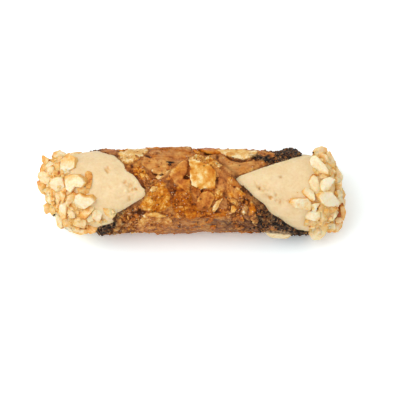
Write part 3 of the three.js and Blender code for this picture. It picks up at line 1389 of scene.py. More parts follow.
    def build_wall(self) -> Piece:
        """Wraps a sheet into the closed wall of the tube.

        Returns:
            The closed wall.
        """
        mesh = bmesh.new()
        face, bore = self.face_rows, self.bore_rows
        turns = np.cumsum((0, self.outer_rows, face, bore, face))
        across, row = grid_places(mesh, self.columns, int(turns[-1]))
        turn = 360 * across - 90
        depth = np.interp(row, turns, (0, 0, 1, 1, 0))
        left, right = -self.tube.left.reach(turn), self.tube.right.reach(turn)
        along = lerp(left, right, np.interp(row, turns, (0, 1, 1, 0, 0)))
        radius, numbers = self.surface(along, turn)
        rim = np.minimum(along - left, right - along)
        radius -= self.rim_drop * (1 - ease(rim, 0.0, self.rim_width))
        bulge = self.bulge * np.sin(np.pi * depth) * np.sign(along)
        radius = lerp(radius, self.tube.radius - self.tube.wall, depth)
        points = self.tube.point(along + bulge, turn, radius)
        points[:, 2] = np.maximum(points[:, 2], 0.0)
        place_vertices(mesh, points, **numbers)
        close_up(mesh)
        return new_piece("crust_wall", mesh, smooth=True)

    def flake_sheet(self, outline: Sequence[Pair]) -> Mesh:
        """A flat sheet of small faces inside a convex outline.

        Args:
            outline: corners in the unrolled plane of the crust.

        Returns:
            A mesh in that plane.
        """
        corners = np.array(outline)
        middle, half = (corners.max(0) + corners.min(0)) / 2, np.ptp(corners, axis=0) / 2
        mesh = bmesh.new()
        columns, rows = (max(2, round(2 * size / self.flake_step)) for size in half)
        bmesh.ops.create_grid(mesh, x_segments=columns, y_segments=rows, size=1.0)
        bmesh.ops.scale(mesh, vec=(*half, 1.0), verts=mesh.verts[:])
        bmesh.ops.translate(mesh, vec=(*middle, 0.0), verts=mesh.verts[:])
        heart = corners.mean(0)
        for first, second in zip(corners, np.roll(corners, -1, axis=0)):
            side = second - first
            out = np.array((side[1], -side[0]))
            out *= np.sign(out @ (first - heart))
            whole = mesh.verts[:] + mesh.edges[:] + mesh.faces[:]
            bmesh.ops.bisect_plane(
                mesh, geom=whole, plane_co=(*first, 0.0), plane_no=(*out, 0.0), clear_outer=True,
                dist=self.flake_cut,
            )
        return mesh

    def bake_flake(self, outline: Sequence[Pair], shape: Flake, salt: float) -> tuple[Mesh, Array]:
        """Bends a flake over the crust and gives it thickness.

        Args:
            outline: corners as distances along and round the tube.
            shape: the flake's other sizes.
            salt: makes its unevenness its own.

        Returns:
            The mesh in metres, and each vertex's distance from the flake's edge in millimetres.
        """
        mesh = self.flake_sheet(outline)
        flat = coordinates(mesh.verts)
        middle, half = np.mean(outline, axis=0), np.ptp(np.array(outline), axis=0) / 2
        edge = mesh.verts.layers.float.new("edge")
        for vertex, inside in zip(mesh.verts, outline_depth(outline, flat[:, :2]).tolist()):
            vertex[edge] = max(inside, 0.0)
        for size, amount in self.flake_waves:
            flat[:, :2] += amount * shape.wavy * wander(flat, size, 2, (salt, salt + 5.0))
        away = np.minimum(np.linalg.norm((flat[:, :2] - middle) / half, axis=1), 1.0)
        turn = np.degrees(flat[:, 1] / self.tube.radius)
        uneven = 0.3 + shape.crumb
        lift = shape.proud + shape.curl * away**2 * (1 + 1.6 * fractal(flat, 5.0, 1, salt)) - 0.35 * away**4
        lift += uneven * (0.5 * fractal(flat, 3.2, 2, salt + 2.0) + 0.4 * fractal(flat, 1.4, 2, salt + 9.0))
        lower = np.clip((middle[1] + half[1] - flat[:, 1]) / (2 * half[1]), 0, 1)
        lift += shape.hang * lower**1.5
        points = self.tube.point(flat[:, 0], turn, self.lumps(flat[:, 0], turn) + lift)
        points[:, 2] = np.maximum(points[:, 2], shape.thickness)
        place_vertices(mesh, points)
        bmesh.ops.recalc_face_normals(mesh, faces=mesh.faces[:])
        axis = Vector((0, 0, self.tube.axis_height * MM))
        if sum(face.normal.dot(face.calc_center_median() - axis) for face in mesh.faces) < 0:
            bmesh.ops.reverse_faces(mesh, faces=mesh.faces[:])
        bmesh.ops.solidify(mesh, geom=mesh.faces[:], thickness=shape.thickness * MM)
        return mesh, np.array([vertex[edge] for vertex in mesh.verts])

    def unrolled(self, pixels: Sequence[Pixel]) -> list[Pair]:
        """Pixels of an outline as distances along and round the tube."""
        radius = self.tube.radius + self.flake_level
        met = (self.tube.meet(self.view, pixel, radius) for pixel in pixels)
        return [(along, math.radians(turn) * self.tube.radius) for along, turn in met]

    def scattered_outlines(self, draw: random.Random, taken: list[Pair]) -> list[list[Pair]]:
        """Outlines of small flakes over the whole crust.

        Args:
            draw: the seeded draw.
            taken: middles of the large flakes, which stay uncovered.

        Returns:
            An outline for each small flake.
        """
        outlines = []
        while len(outlines) < self.small_flakes:
            turn = draw.uniform(*self.small_turn)
            along = draw.uniform(*self.small_along)
            left, right = (mouth.reach(np.array(turn)) for mouth in (self.tube.left, self.tube.right))
            arc = math.radians(turn) * self.tube.radius
            crowded = any(math.hypot(along - x, arc - y) < self.small_gap for x, y in taken)
            if crowded or min(along + left, right - along) < self.small_room:
                continue
            length = draw.uniform(*self.small_length) ** self.small_growth
            width = length * draw.uniform(*self.small_width)
            spin = draw.uniform(0, math.pi)
            corners = sorted(draw.uniform(0, math.tau) for _ in range(self.small_corners))
            ring = [(length / 2 * math.cos(angle), width / 2 * math.sin(angle)) for angle in corners]
            cosine, sine = math.cos(spin), math.sin(spin)
            turned = [(x * cosine - y * sine, x * sine + y * cosine) for x, y in ring]
            if np.min(np.ptp(np.array(turned), axis=0)) < self.small_least:
                continue
            outlines.append([(along + x, arc + y) for x, y in turned])
        return outlines

    def build_flakes(self) -> Piece:
        """Makes all flakes as one piece.

        Returns:
            The flakes, each closed.
        """
        draw = random.Random(self.flake_seed)
        heap = Heap("crust_flakes")
        taken = []
        for index, flake in enumerate(self.flakes):
            outline = self.unrolled(flake.outline)
            taken.append(tuple(np.mean(outline, axis=0)))
            mesh, edge = self.bake_flake(outline, flake, 20.0 + index)
            self.add_flake(heap, mesh, flake, flake.tone.value, edge)
        for index, outline in enumerate(self.scattered_outlines(draw, taken)):
            flake = Flake(
                (), draw.choice(tuple(Fried)), caramel=draw.random(), crumb=draw.uniform(0.2, 0.7),
                thickness=0.8, proud=draw.uniform(0.1, 0.5), curl=draw.uniform(0.0, 0.4),
            )
            mesh, edge = self.bake_flake(outline, flake, 60.0 + index)
            self.add_flake(heap, mesh, flake, draw.uniform(*self.small_tone), edge)
        return heap.piece(smooth=True)

    def add_flake(
        self, heap: Heap, mesh: Mesh, flake: Flake, tone: float, edge: Array
    ) -> None:
        """Adds one flake, mottled, and dark where it lies close in a burnt band.

        Args:
            heap: the piece that takes it.
            mesh: the flake's mesh.
            flake: what it is like.
            tone: how pale it is.
            edge: distance of each vertex from the flake's edge.
        """
        points = coordinates(mesh.verts) / MM
        centred = points - np.array((*self.tube.aside, self.tube.axis_height))
        turn = np.degrees(np.arctan2(centred[:, 2], -centred[:, 1]))
        span = self.hanging if flake.hang else self.loose
        loose = ease(np.hypot(centred[:, 1], centred[:, 2]) - self.lumps(centred[:, 0], turn), *span)
        burn = np.maximum(self.burnt(centred[:, 0], turn, points), flake.hang > 0) * (1 - loose)
        mottle = (flake.blotchy + 0.4 * flake.crumb) * fractal(points, 3.0, 2, 2.0)
        mottle += (0.1 + 0.3 * flake.crumb) * fractal(points, 1.2, 2, 3.0)
        patchy = ease(fractal(points, 4.0, 2, 6.0), -0.25, 0.2)
        shade = np.clip(tone + mottle + flake.rim * patchy * (1 - ease(edge, 0.2, 1.5)), 0, 1)
        looks = {"caramel": flake.caramel, "crumb": flake.crumb, "crevice": 0.0, "grey": 0.0}
        heap.add(mesh, tone=shade, burn=0.9 * burn, **looks)

    def build_grit(self, wall: Piece) -> Piece:
        """Scatters grit over the burnt bands and crumbs over the rest of the crust.

        Args:
            wall: the finished wall.

        Returns:
            The grains as one piece.
        """
        draw = random.Random(self.grit_seed)
        burn = carried(wall, "burn")
        radial = coordinates(wall.data.vertices) / MM
        radial -= np.array((0.0, self.tube.aside[1], self.tube.axis_height))
        outer = np.hypot(radial[:, 1], radial[:, 2]) > self.tube.radius - self.grit_bed
        heap = Heap("crust_grit")
        for grit in self.grits:
            least, most = grit.where
            spots = np.flatnonzero((burn > least) & (burn < most) & outer).tolist()
            for index in draw.sample(spots, min(grit.count, len(spots))):
                vertex = wall.data.vertices[index]
                grain = bmesh.new()
                bmesh.ops.create_icosphere(grain, subdivisions=1, radius=draw.uniform(*grit.radius) * MM)
                width, height = draw.uniform(*self.grit_width), draw.uniform(*self.grit_height)
                squash = Matrix.Diagonal((1.0, width, height, 1.0))
                spin = Matrix.Rotation(draw.uniform(0, math.tau), 4, "X")
                twist = Matrix.Rotation(draw.uniform(0, math.tau), 4, "Z")
                place = Matrix.Translation(vertex.co) @ spin @ twist @ squash
                bmesh.ops.transform(grain, matrix=place, verts=grain.verts[:])
                off_floor(grain)
                char = min(1.0, grit.burn * draw.uniform(*self.grit_char))
                looks = {"caramel": 0.5, "crumb": 0.5, "crevice": 0.0, "burn": char, "grey": 0.0}
                heap.add(grain, tone=draw.uniform(*grit.tone), **looks)
        return heap.piece(smooth=True)

    def build(self, finish: Material) -> None:
        """Builds and dresses the pastry.

        Args:
            finish: the crust's material.
        """
        wall = seat(self.build_wall(), finish)
        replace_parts(wall, Solid.SHELL.value)
        seat(self.build_flakes(), finish)
        seat(self.build_grit(wall), finish)


# Sheets of the wall that the photograph shows, lower ones first; two dark, sunken ones are painted shade
SHOWN_SHEETS = (
    Sheet(((150, 147), (192, 146), (192, 158), (178, 166), (168, 176), (158, 178), (150, 165)),
          0.52, 0.3, 0.16),
    Sheet(((218, 157), (228, 160), (245, 161), (256, 156), (258, 162), (240, 173), (232, 176), (224, 169)),
          0.58, 0.1, 0.05),
    Sheet(((118, 153), (126, 150), (136, 148), (150, 148), (143, 156), (133, 162), (126, 163), (120, 160)),
          0.82, 0.5, 0.28, 0.5, 0.06),
    Sheet(((143, 156), (150, 158), (157, 162), (157, 166), (150, 169), (142, 166)), 0.58, 0.3, 0.12, 0.3),
    Sheet(((133, 167), (140, 166), (146, 170), (147, 176), (143, 180), (138, 178), (134, 173)),
          0.6, 1, 0.65, 0.4),
    # Painted shade: a dark, sunken band in the gap between the cream and the crust
    Sheet(((122, 164), (130, 168), (136, 174), (143, 181), (146, 187), (143, 189), (138, 183), (124, 169)),
          0.24, 0.6, 0.3, -0.3),
    Sheet(((143, 177), (150, 175), (158, 180), (157, 187), (150, 189), (145, 186)), 0.42, 0.3, 0.7, 0.1),
    Sheet(((180, 164), (188, 160), (190, 172), (190, 192), (184, 192), (174, 182), (167, 180), (170, 174)),
          0.5, 0.6, 0.16, 0.5, 0.14),
    # Painted shadow: the dark band that the large golden flake casts on its left
    Sheet(((187, 163), (190, 164), (190, 180), (183, 181), (183, 178), (187, 175)), 0.26, 0.8, 0.1, -0.3),
    Sheet(((190, 159), (196, 157), (210, 159), (216, 162), (221, 167), (220, 171), (212, 169), (192, 163)),
          0.7, 0.7, 0.65, 0.5, 0.08),
    Sheet(((216, 172), (221, 171), (227, 174), (231, 179), (230, 184), (226, 190), (217, 190)),
          0.45, 0.4, 0.2, 0.2),
    Sheet(((168, 188), (174, 186), (182, 188), (190, 193), (197, 207), (197, 214), (192, 219), (176, 215),
           (170, 200)), 0.42, 1, 0.5, 0.1),
    Sheet(((186, 211), (192, 208), (198, 212), (198, 218), (190, 219), (185, 216)), 0.42, 1, 0.12, 0.3),
    Sheet(((196, 206), (214, 207), (228, 208), (228, 215), (212, 219), (197, 218)), 0.42, 0.8, 0.5, 0.1),
    Sheet(((199, 189), (214, 190), (220, 189), (223, 194), (221, 198), (214, 201), (201, 196)),
          0.52, 0.9, 0.6, 0.2),
    Sheet(((229, 178), (233, 180), (241, 186), (246, 193), (243, 198), (236, 199), (230, 196), (226, 190)),
          0.6, 0.7, 0.4, 0.4, 0.1),
    Sheet(((239, 188), (242, 185), (246, 190), (247, 194), (243, 193)), 0.26, 0.2, 0.7, 0),
    Sheet(((139, 207), (145, 197), (149, 190), (157, 184), (163, 181), (168, 189), (171, 206), (158, 211),
           (144, 209)), 0.62, 1.2, 0.5, 0.3, 0.04),
    Sheet(((164, 223), (174, 218.5), (183, 221), (191, 219), (198, 222), (207, 217), (215, 219.5),
           (223, 215.5), (230, 218), (237, 214), (238, 234), (164, 236)), 0.45, 0.1, 0.34, 0.1, 0, 0.75),
    Sheet(((112, 219), (122, 208), (140, 205), (146, 212), (136, 224), (138, 234), (108, 236)),
          0.42, 0.35, 0.8, 0),
    Sheet(((117, 219), (121, 217), (123, 221), (119, 228), (114, 233), (113, 229)), 0.6, 0.2, 0.4, 0.4),
    Sheet(((228, 198), (244, 196), (250, 200), (262, 212), (258, 222), (236, 222), (226, 214)),
          0.4, 0.5, 0.8, 0.1),
    Sheet(((243, 203), (247, 201), (248, 206), (246, 212), (242, 211)), 0.66, 0.2, 0.6, 0.5),
    Sheet(((248, 205), (252, 202), (255, 204), (256, 209), (253, 213), (249, 212)), 0.5, 0.9, 0.4, 0.5),
    Sheet(((232, 216), (262, 212), (272, 224), (262, 236), (232, 234)), 0.34, 0.25, 0.6, 0, 0, 0.4),
)

# Large flakes that the photograph shows
LARGE_FLAKES = (
    Flake(((151, 172), (154, 168), (159, 166), (166, 169), (170, 172), (165, 174)),
          Fried.GOLDEN, 0.25, 0.2, 0.8, 0.6, 0.5),
    Flake(((149, 192), (152, 188), (157, 186), (158, 188), (154, 192)), Fried.PALE, 0.4, 0.3, 0.8, 0.8),
    Flake(((155, 177), (158, 175), (163, 175), (165, 177), (160, 179)),
          Fried.GOLDEN, 0.25, 0.2, 0.8, 0.3, 0.1),
    Flake(((136, 224), (144, 214), (150, 211), (158, 212), (172, 219), (173, 224), (160, 231), (141, 231)),
          Fried.ORANGE, 0.35, 0.55, 1.2, 0.5, 0.2, 0.04),
    Flake(((144, 215), (148, 211.5), (152, 210.5), (158, 211.5), (166, 215.5), (172, 219.5), (158, 215.5)),
          Fried.GOLDEN, 0.75, 0.1, 0.7, 1.2, 0.2, 0.1, 0.4),
    Flake(((180, 148), (184, 147), (191, 147), (191, 149.5), (184, 150)),
          Fried.PALE, 0.4, 0.1, 0.8, 1, 0.1, 0, 0.2),
    Flake(((146, 147), (168, 145), (191, 146), (191, 151), (168, 149)), Fried.ORANGE, 0.2, 0.15, 1, 1),
    Flake(((189, 161), (201, 164), (211, 168), (216, 173), (215, 189), (200, 189), (191, 185)),
          Fried.GOLDEN, 0.85, 0.02, 1.2, 1.1, 0.2, 0.24, 0.8, 0.4),
    Flake(((196.5, 204), (198, 197), (202, 193), (208, 191), (213, 192.5), (214.5, 197), (212.5, 204),
           (207, 210), (201, 211.5), (197.5, 209)), Fried.ORANGE, 0.58, 0.25, 1.1, 0.9, 0.2, 0.2, 0.5),
    Flake(((223, 197), (223, 200), (219, 206), (216, 213), (212, 212), (212, 208), (217, 201)),
          Fried.PALE, 0.35, 0.3, 0.9, 0.9, 0.2, 0, 0.5),
    Flake(((215, 150), (224, 149.5), (240, 150), (257, 151), (258, 153.5), (251, 157), (243, 158.5),
           (234, 157), (224, 153)), Fried.PALE, 0.5, 0, 1.1, 1, 0.5, 0.1, 0.3, 0.3),
    Flake(((197, 149), (206, 148), (218, 149), (224, 151), (219, 152.5), (208, 152.5)),
          Fried.ORANGE, 0.9, 0.1, 1, 1.1, 0.3, 0.1, 0.4),
    Flake(((231, 178), (236, 181), (241, 187), (239, 189), (233, 185)), Fried.ORANGE, 0.7, 0.15, 0.9, 0.7),
    Flake(((228, 199), (232, 198), (236, 200), (235, 202), (231, 202)), Fried.GOLDEN, 0.5, 0.2, 0.8, 0.7),
    Flake(((231, 206), (234, 205), (237, 208), (235, 212), (231, 211)), Fried.GOLDEN, 0.8, 0.3, 0.8, 0.7),
    Flake(((264, 231.5), (270, 230.5), (280, 230), (288, 230.5), (292, 232), (284, 234.5), (276, 234.6),
           (268, 233)), Fried.CREAMY, 0.1, 0, 0.9, 0.2, 0, 0, 0.5, 0.15, 2.6),
)


@dataclass(frozen=True)
class CreamEnd:
    """One domed end of the cream, and the coat of nuts on it."""

    mouth: Mouth
    shoulder: float
    end: float
    power: float
    lean: float
    nuts_from: float
    dip: float
    radius: float = 16.6
    steps: int = 160
    lean_from: float = 6.0
    rim_gap: float = 2.0
    lean_turn: float = 155.0
    dip_turn: float = 18.0
    dip_spread: float = 34.0

    def outline(self, share: Array, turn: Array) -> tuple[Array, Array]:
        """The cream's outline from the pole of its dome to the rim.

        Args:
            share: how far along the outline, 0 at the pole and 1 at the rim.
            turn: angles about the tube.

        Returns:
            Distances from the tube's middle and radii.
        """
        angle = np.linspace(0.0, math.pi / 2, self.steps)
        dome = (self.end - self.shoulder) * np.cos(angle).clip(0) ** self.power
        reach = np.append(self.shoulder + dome, 0.0)
        radius = np.append(self.radius * np.sin(angle) ** self.power, self.radius)
        length = np.append(0.0, np.cumsum(np.hypot(np.diff(reach), np.diff(radius))))
        place = share * np.interp(-self.mouth.reach(turn), -reach, length)
        return np.interp(place, length, reach), np.interp(place, length, radius)

    def leaned(self, reach: Array, turn: Array, radius: Array) -> Array:
        """Distances along the tube, with the dome's lean."""
        share = ease(reach, self.shoulder - self.lean_from, self.end)
        shift = self.lean * share * radius * np.cos(np.radians(turn - self.lean_turn))
        return self.mouth.facing * (reach + shift)

    def coat_start(self, turn: Array) -> Array:
        """Distance from the middle at which the coat of nuts begins."""
        dip = self.dip * np.exp(-((signed_turn(turn - self.dip_turn) / self.dip_spread) ** 2))
        return np.maximum(self.nuts_from - dip, self.mouth.reach(turn) + self.rim_gap)


@dataclass(frozen=True)
class CreamFilling:
    """The cream from end to end: level with the pastry in the mouths, and domed beyond them."""

    tube: Tube
    view: PhotoView
    left: CreamEnd
    right: CreamEnd
    columns: int = 230
    end_rows: int = 115
    core_rows: int = 8
    fit_gap: float = 0.3
    mouth_gap: float = 0.5
    pits: tuple[Patch, ...] = (
        Patch((125.5, 182), (2.4, 2), 20, 0.65),
        Patch((131, 186), (2.2, 1.4), 30, 0.6),
        Patch((132.5, 190), (1.5, 1.8), 0, 0.8),
        Patch((136.8, 189), (1.2, 1.2), 0, 0.9),
        Patch((129.8, 198.5), (1.6, 2.6), 0, 0.8),
        Patch((106.5, 171), (1.6, 3.4), 25, 0.7),
        Patch((108, 168.4), (1.8, 1), 0, 0.5),
        Patch((104, 187), (4, 1), 0, 0.2),
        Patch((120, 197), (6, 0.9), 10, 0.2),
        Patch((260, 188.5), (1.6, 3), 15, 1),
        Patch((256.5, 186), (1.6, 1.4), 0, 0.5),
        Patch((270.5, 197.4), (2.2, 1.4), 20, 0.9),
        Patch((276, 195), (2, 0.9), 10, 0.4),
        Patch((280, 202), (1.3, 1.8), 0, 0.8),
        Patch((281, 176.5), (1.2, 1.2), 0, 0.8),
        Patch((287, 200), (3, 0.8), 5, 0.35),
    )
    pit_depth: float = 0.8
    tiny_depth: float = 0.25
    ragged: float = 0.6
    streak: float = 0.2
    lump: float = 0.25
    coat_fade: Pair = (-1.5, 3.5)
    coat_sink: float = 1.4
    end_sink: float = 1.0
    swell: float = 0.3
    swell_past_rim: Pair = (0.3, 5.0)
    swell_height: Pair = (8.0, 16.0)
    dents: tuple[Hump, ...] = (
        Hump(-48, 152, 6, -1.7),
        Hump(46, 150, 6, -3),
    )
    torn: tuple[Patch, ...] = (
        Patch((268, 193), (17, 5), -33, 1),
        Patch((131, 188), (8, 8), 0, 0.8),
    )
    tear: float = 1.1

    def build_body(self) -> Piece:
        """Wraps a sheet into the cream's closed skin.

        Returns:
            The closed skin.
        """
        mesh = bmesh.new()
        breaks = np.cumsum((0, self.end_rows, self.core_rows, self.end_rows))
        across, row = grid_places(mesh, self.columns, int(breaks[-1]))
        turn = 360 * across - 90
        along, radius = self.core(turn, np.interp(row, breaks, (0, 0, 1, 1)))
        coat = np.zeros_like(along)
        shares = (1 - row / self.end_rows, (row - breaks[2]) / self.end_rows)
        for end, share in zip((self.left, self.right), shares):
            here = share >= 0
            reach, height = end.outline(1 - share[here], turn[here])
            inside = reach - end.mouth.reach(turn[here])
            coat[here] = ease(reach - end.coat_start(turn[here]), *self.coat_fade)
            upright = np.clip(height / end.radius, 0, 1)
            sink = (self.coat_sink + self.end_sink * (1 - upright**2)) * coat[here]
            along[here] = end.leaned(reach - sink * np.sqrt(1 - upright**2), turn[here], height)
            swell = ease(inside, *self.swell_past_rim) * ease(height, *self.swell_height)
            radius[here] = height - sink * upright + self.swell * swell
        radius += sum(dent.rise(along, turn, self.tube.radius) for dent in self.dents)
        points = self.tube.point(along, turn, radius)
        points, pit = self.worked(points, self.tube.outward(turn), coat)
        points[:, 2] = np.maximum(points[:, 2], 0.0)
        place_vertices(mesh, points, pit=pit, coat=coat)
        close_up(mesh)
        return new_piece("cream_body", mesh, smooth=True)

    def core(self, turn: Array, share: Array) -> tuple[Array, Array]:
        """The plain cream inside the tube, from the left mouth to the right one."""
        left = -self.left.mouth.reach(turn) + self.mouth_gap
        right = self.right.mouth.reach(turn) - self.mouth_gap
        return lerp(left, right, share), np.full_like(turn, self.tube.radius - self.tube.wall - self.fit_gap)

    def worked(self, points: Array, normals: Array, coat: Array) -> tuple[Array, Array]:
        """The marks of the knife: smears along the tube, soft lumps and torn pits.

        Args:
            points: places on the smooth cream.
            normals: directions out of the tube.
            coat: where nuts cover it.

        Returns:
            The worked places, and at each the painted shade of pits, small pits and torn hollows, from 0 to
            1.
        """
        drawn = points * np.array((0.12, 1.0, 1.0))
        smear = fractal(drawn, 2.6, 3, 1.5) * (1 - coat)
        warp = wander(points, 1.3, 2, (51.0, 52.0, 53.0))
        pit = np.clip(patchwork(self.pits, self.view, points + self.ragged * warp, normals), 0, 1)
        torn = np.clip(patchwork(self.torn, self.view, points, normals), 0, 1) * fractal(points, 1.5, 2, 19.0)
        tiny = ease(fractal(points, 1.3, 2, 12.0), 0.62, 0.8) * (1 - coat)
        rise = self.streak * smear + self.lump * fractal(points, 7.0, 2, 2.5) - self.pit_depth * pit
        rise += self.tear * torn - self.tiny_depth * tiny
        # Painted shade: the colour deepens in pits, small pits and the hollows of the torn cream
        hollow_shade = pit * 1.1 + 0.15 * tiny - 0.8 * np.minimum(torn, 0.0)
        return points + normals * rise[:, None], np.clip(hollow_shade, 0, 1)

    def build(self, finish: Material) -> Piece:
        """Builds and dresses the cream, for what lies on it."""
        body = seat(self.build_body(), finish)
        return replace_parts(body, Solid.CREAM.value)


@dataclass(frozen=True)
class Chip:
    """A piece of chopped nut that shows well, by its outline in the photograph."""

    outline: tuple[Pixel, ...]
    tone: Nut
    proud: float = 1.8


@dataclass(frozen=True)
class Stray:
    """A burnt crumb of pastry among the nuts, by its place in the photograph."""

    pixel: Pixel
    length: float
    width: float
    spin: float = 0.0


@dataclass(frozen=True)
class NutCoat:
    """The chopped nuts that stick to both ends of the cream, with their crumbs."""

    view: PhotoView
    chips: tuple[Chip, ...]
    strays: tuple[Stray, ...] = (
        Stray((54.5, 214.5), 2.0, 0.7, 50.0),
        Stray((311, 153.5), 0.9, 0.7),
        Stray((317, 209), 0.9, 0.8),
    )
    spacing: float = 3.0
    coat_least: float = 0.5
    floor_gap: float = 1.2
    # Shown chips: how they face, their shoulders and their breaks
    facing: float = 0.6
    tilt: float = 0.35
    thickness: float = 3.0
    grown: float = 0.9
    slope: float = 0.7
    slope_width: float = 0.4
    slope_vary: Pair = (0.7, 1.2)
    slope_reach: float = 1.6
    breaks: tuple[int, int] = (2, 4)
    break_lean: float = 0.45
    break_depth: Pair = (0.3, 0.9)
    bevel: float = 0.14
    longest_edge: float = 1.1
    sharp: float = math.radians(17)
    # How far faces are uneven, and over what width
    rough: Pair = (0.22, 1.8)
    loose_rough: Pair = (0.25, 1.4)
    # Tones by depth below a chip's face: its sides darken, partly as toasted skin and partly as painted shade
    face_tone: float = 0.08
    side_tone: float = 0.28
    shoulder: Pair = (0.1, 0.7)
    flank: Pair = (0.6, 1.5)
    # Loose chips: their sizes, breaks and tones, and how they lie
    length: Pair = (3.2, 6.4)
    filling_length: Pair = (2.0, 3.2)
    width_share: Pair = (0.55, 0.9)
    depth_share: Pair = (0.4, 0.7)
    loose_breaks: tuple[int, int] = (4, 6)
    loose_depth: Pair = (0.2, 0.5)
    loose_weld: float = 0.1
    loose_bevel: float = 0.6
    loose_tone: Pair = (0.77, 0.16)
    loose_aim: float = 0.8
    rise_share: Pair = (0.15, 0.4)
    lowered: float = 0.8
    # Pixels inside the shown chips that are covered, and outside them that are near
    well_covered: float = 0.5
    filled_near: float = 6.0
    lowered_near: float = 8.0
    side_on: float = 0.15
    bare: float = 1.5
    overhang: float = 1.8
    push: float = 0.5
    pushes: int = 6
    # Painted shade in the creases: heights over the cream across which it fades, and how much it darkens
    bedded: Pair = (0.2, 2.2)
    crease_shade_drop: float = 0.4
    least_tone: float = 0.42
    chip_seed: int = 5
    crumbs: int = 300
    crumb_spacing: float = 1.6
    crumb_size: Pair = (0.8, 1.9)
    crumb_uneven: Pair = (0.6, 1.2)
    crumb_lift: Pair = (0.0, 1.2)
    crumb_tone: Pair = (0.45, 0.8)
    crumb_seed: int = 23
    stray_lift: float = 0.2

    def roughen(self, part: Mesh, rough: Pair, salt: float) -> None:
        """Makes a chip's faces uneven and marks its broken edges as sharp.

        Args:
            part: the chip.
            rough: how far its faces move, and over what width.
            salt: makes its roughness its own.
        """
        amount, size = rough
        part.normal_update()
        places = coordinates(part.verts)
        for vertex, shift in zip(part.verts, (amount * fractal(places, size, 2, salt)).tolist()):
            vertex.co += vertex.normal * shift
        part.normal_update()
        for edge in part.edges:
            edge.smooth = edge.calc_face_angle(0.0) < self.sharp

    def met(self, skin: BVHTree, pixel: Pixel) -> tuple[Vector, Vector]:
        """Where the view through a pixel meets a surface, or else comes nearest to it.

        Args:
            skin: the surface.
            pixel: a place in the photograph.

        Returns:
            The place and the surface's normal there.
        """
        eye, ray = self.view.eye, self.view.direction(pixel)
        spot, normal, _, _ = skin.ray_cast(Vector(eye) * MM, Vector(ray))
        if spot is None:
            spot, normal, _, _ = skin.find_nearest(Vector(eye + ray * self.view.distance) * MM)
        return spot, normal

    def blunt(self, part: Mesh, width: float) -> None:
        """Takes the sharpness off all edges of a chip."""
        bmesh.ops.bevel(
            part, geom=part.edges[:], offset=width, offset_type="OFFSET", affect="EDGES", segments=1,
            profile=0.5, material=-1, clamp_overlap=True,
        )

    def shown_chip(self, chip: Chip, skin: BVHTree, draw: random.Random) -> tuple[Mesh, Array]:
        """Builds a chip whose face has its outline in the photograph.

        Args:
            chip: the chip.
            skin: the cream that it lies on.
            draw: the seeded draw.

        Returns:
            Its mesh in millimetres, and how deep below its face each vertex lies.
        """
        eye = self.view.eye
        middle = tuple(np.mean(chip.outline, axis=0))
        spot, normal = self.met(skin, middle)
        face = Vector(self.view.back) * self.facing + normal * (1 - self.facing)
        face += ACROSS * draw.uniform(-self.tilt, self.tilt)
        face += Vector(self.view.up) * draw.uniform(-self.tilt, self.tilt)
        face.normalize()
        level = np.array(spot / MM + face * chip.proud)
        shoulder = level - self.slope * np.array(face)
        corners = np.array(chip.outline) - middle
        reach = np.linalg.norm(corners, axis=1, keepdims=True)
        part = bmesh.new()
        ring = []
        for pixel in middle + corners * (1 + self.grown / reach):
            ray = self.view.direction(pixel)
            step = ((shoulder - eye) @ np.array(face)) / (ray @ np.array(face))
            ring.append(part.verts.new(eye + ray * step))
        foot = part.faces.new(ring)
        foot.normal_update()
        if foot.normal.dot(face) > 0:
            foot.normal_flip()
        body = bmesh.ops.extrude_face_region(part, geom=[foot], use_keep_orig=True)
        upper = [item for item in body["geom"] if isinstance(item, bmesh.types.BMVert)]
        top = next(item for item in body["geom"] if isinstance(item, bmesh.types.BMFace))
        lower = [vertex for vertex in part.verts if vertex not in upper]
        bmesh.ops.translate(part, vec=-face * self.thickness, verts=lower)
        bmesh.ops.recalc_face_normals(part, faces=part.faces[:])
        narrow = self.slope_width * draw.uniform(*self.slope_vary)
        narrow *= min(1.0, self.view.mm_per_pixel * reach.min() / self.slope_reach)
        bmesh.ops.inset_region(part, faces=[top], thickness=narrow, depth=self.slope, use_even_offset=True)
        for _ in range(draw.randint(*self.breaks)):
            aside = ACROSS * draw.uniform(-1, 1) + Vector(self.view.up) * draw.uniform(-1, 1)
            self.chop(part, (face + self.break_lean * aside).normalized(), draw.uniform(*self.break_depth))
        self.blunt(part, self.bevel)
        for _ in range(2):
            bmesh.ops.triangulate(part, faces=part.faces[:])
            long = [edge for edge in part.edges if edge.calc_length() > self.longest_edge]
            bmesh.ops.subdivide_edges(part, edges=long, cuts=1)
        bmesh.ops.triangulate(part, faces=part.faces[:])
        self.roughen(part, self.rough, draw.uniform(0, 90))
        places = coordinates(part.verts)
        return part, (level - places) @ np.array(face)

    def chop(self, part: Mesh, facing: Vector, depth: float) -> None:
        """Breaks a flat face off a chip.

        Args:
            part: the chip.
            facing: direction that the new face faces.
            depth: how much is taken off.
        """
        limit = max(vertex.co.dot(facing) for vertex in part.verts) - depth
        whole = part.verts[:] + part.edges[:] + part.faces[:]
        bmesh.ops.bisect_plane(part, geom=whole, plane_co=facing * limit, plane_no=facing, clear_outer=True)
        bmesh.ops.holes_fill(part, edges=[edge for edge in part.edges if edge.is_boundary], sides=0)

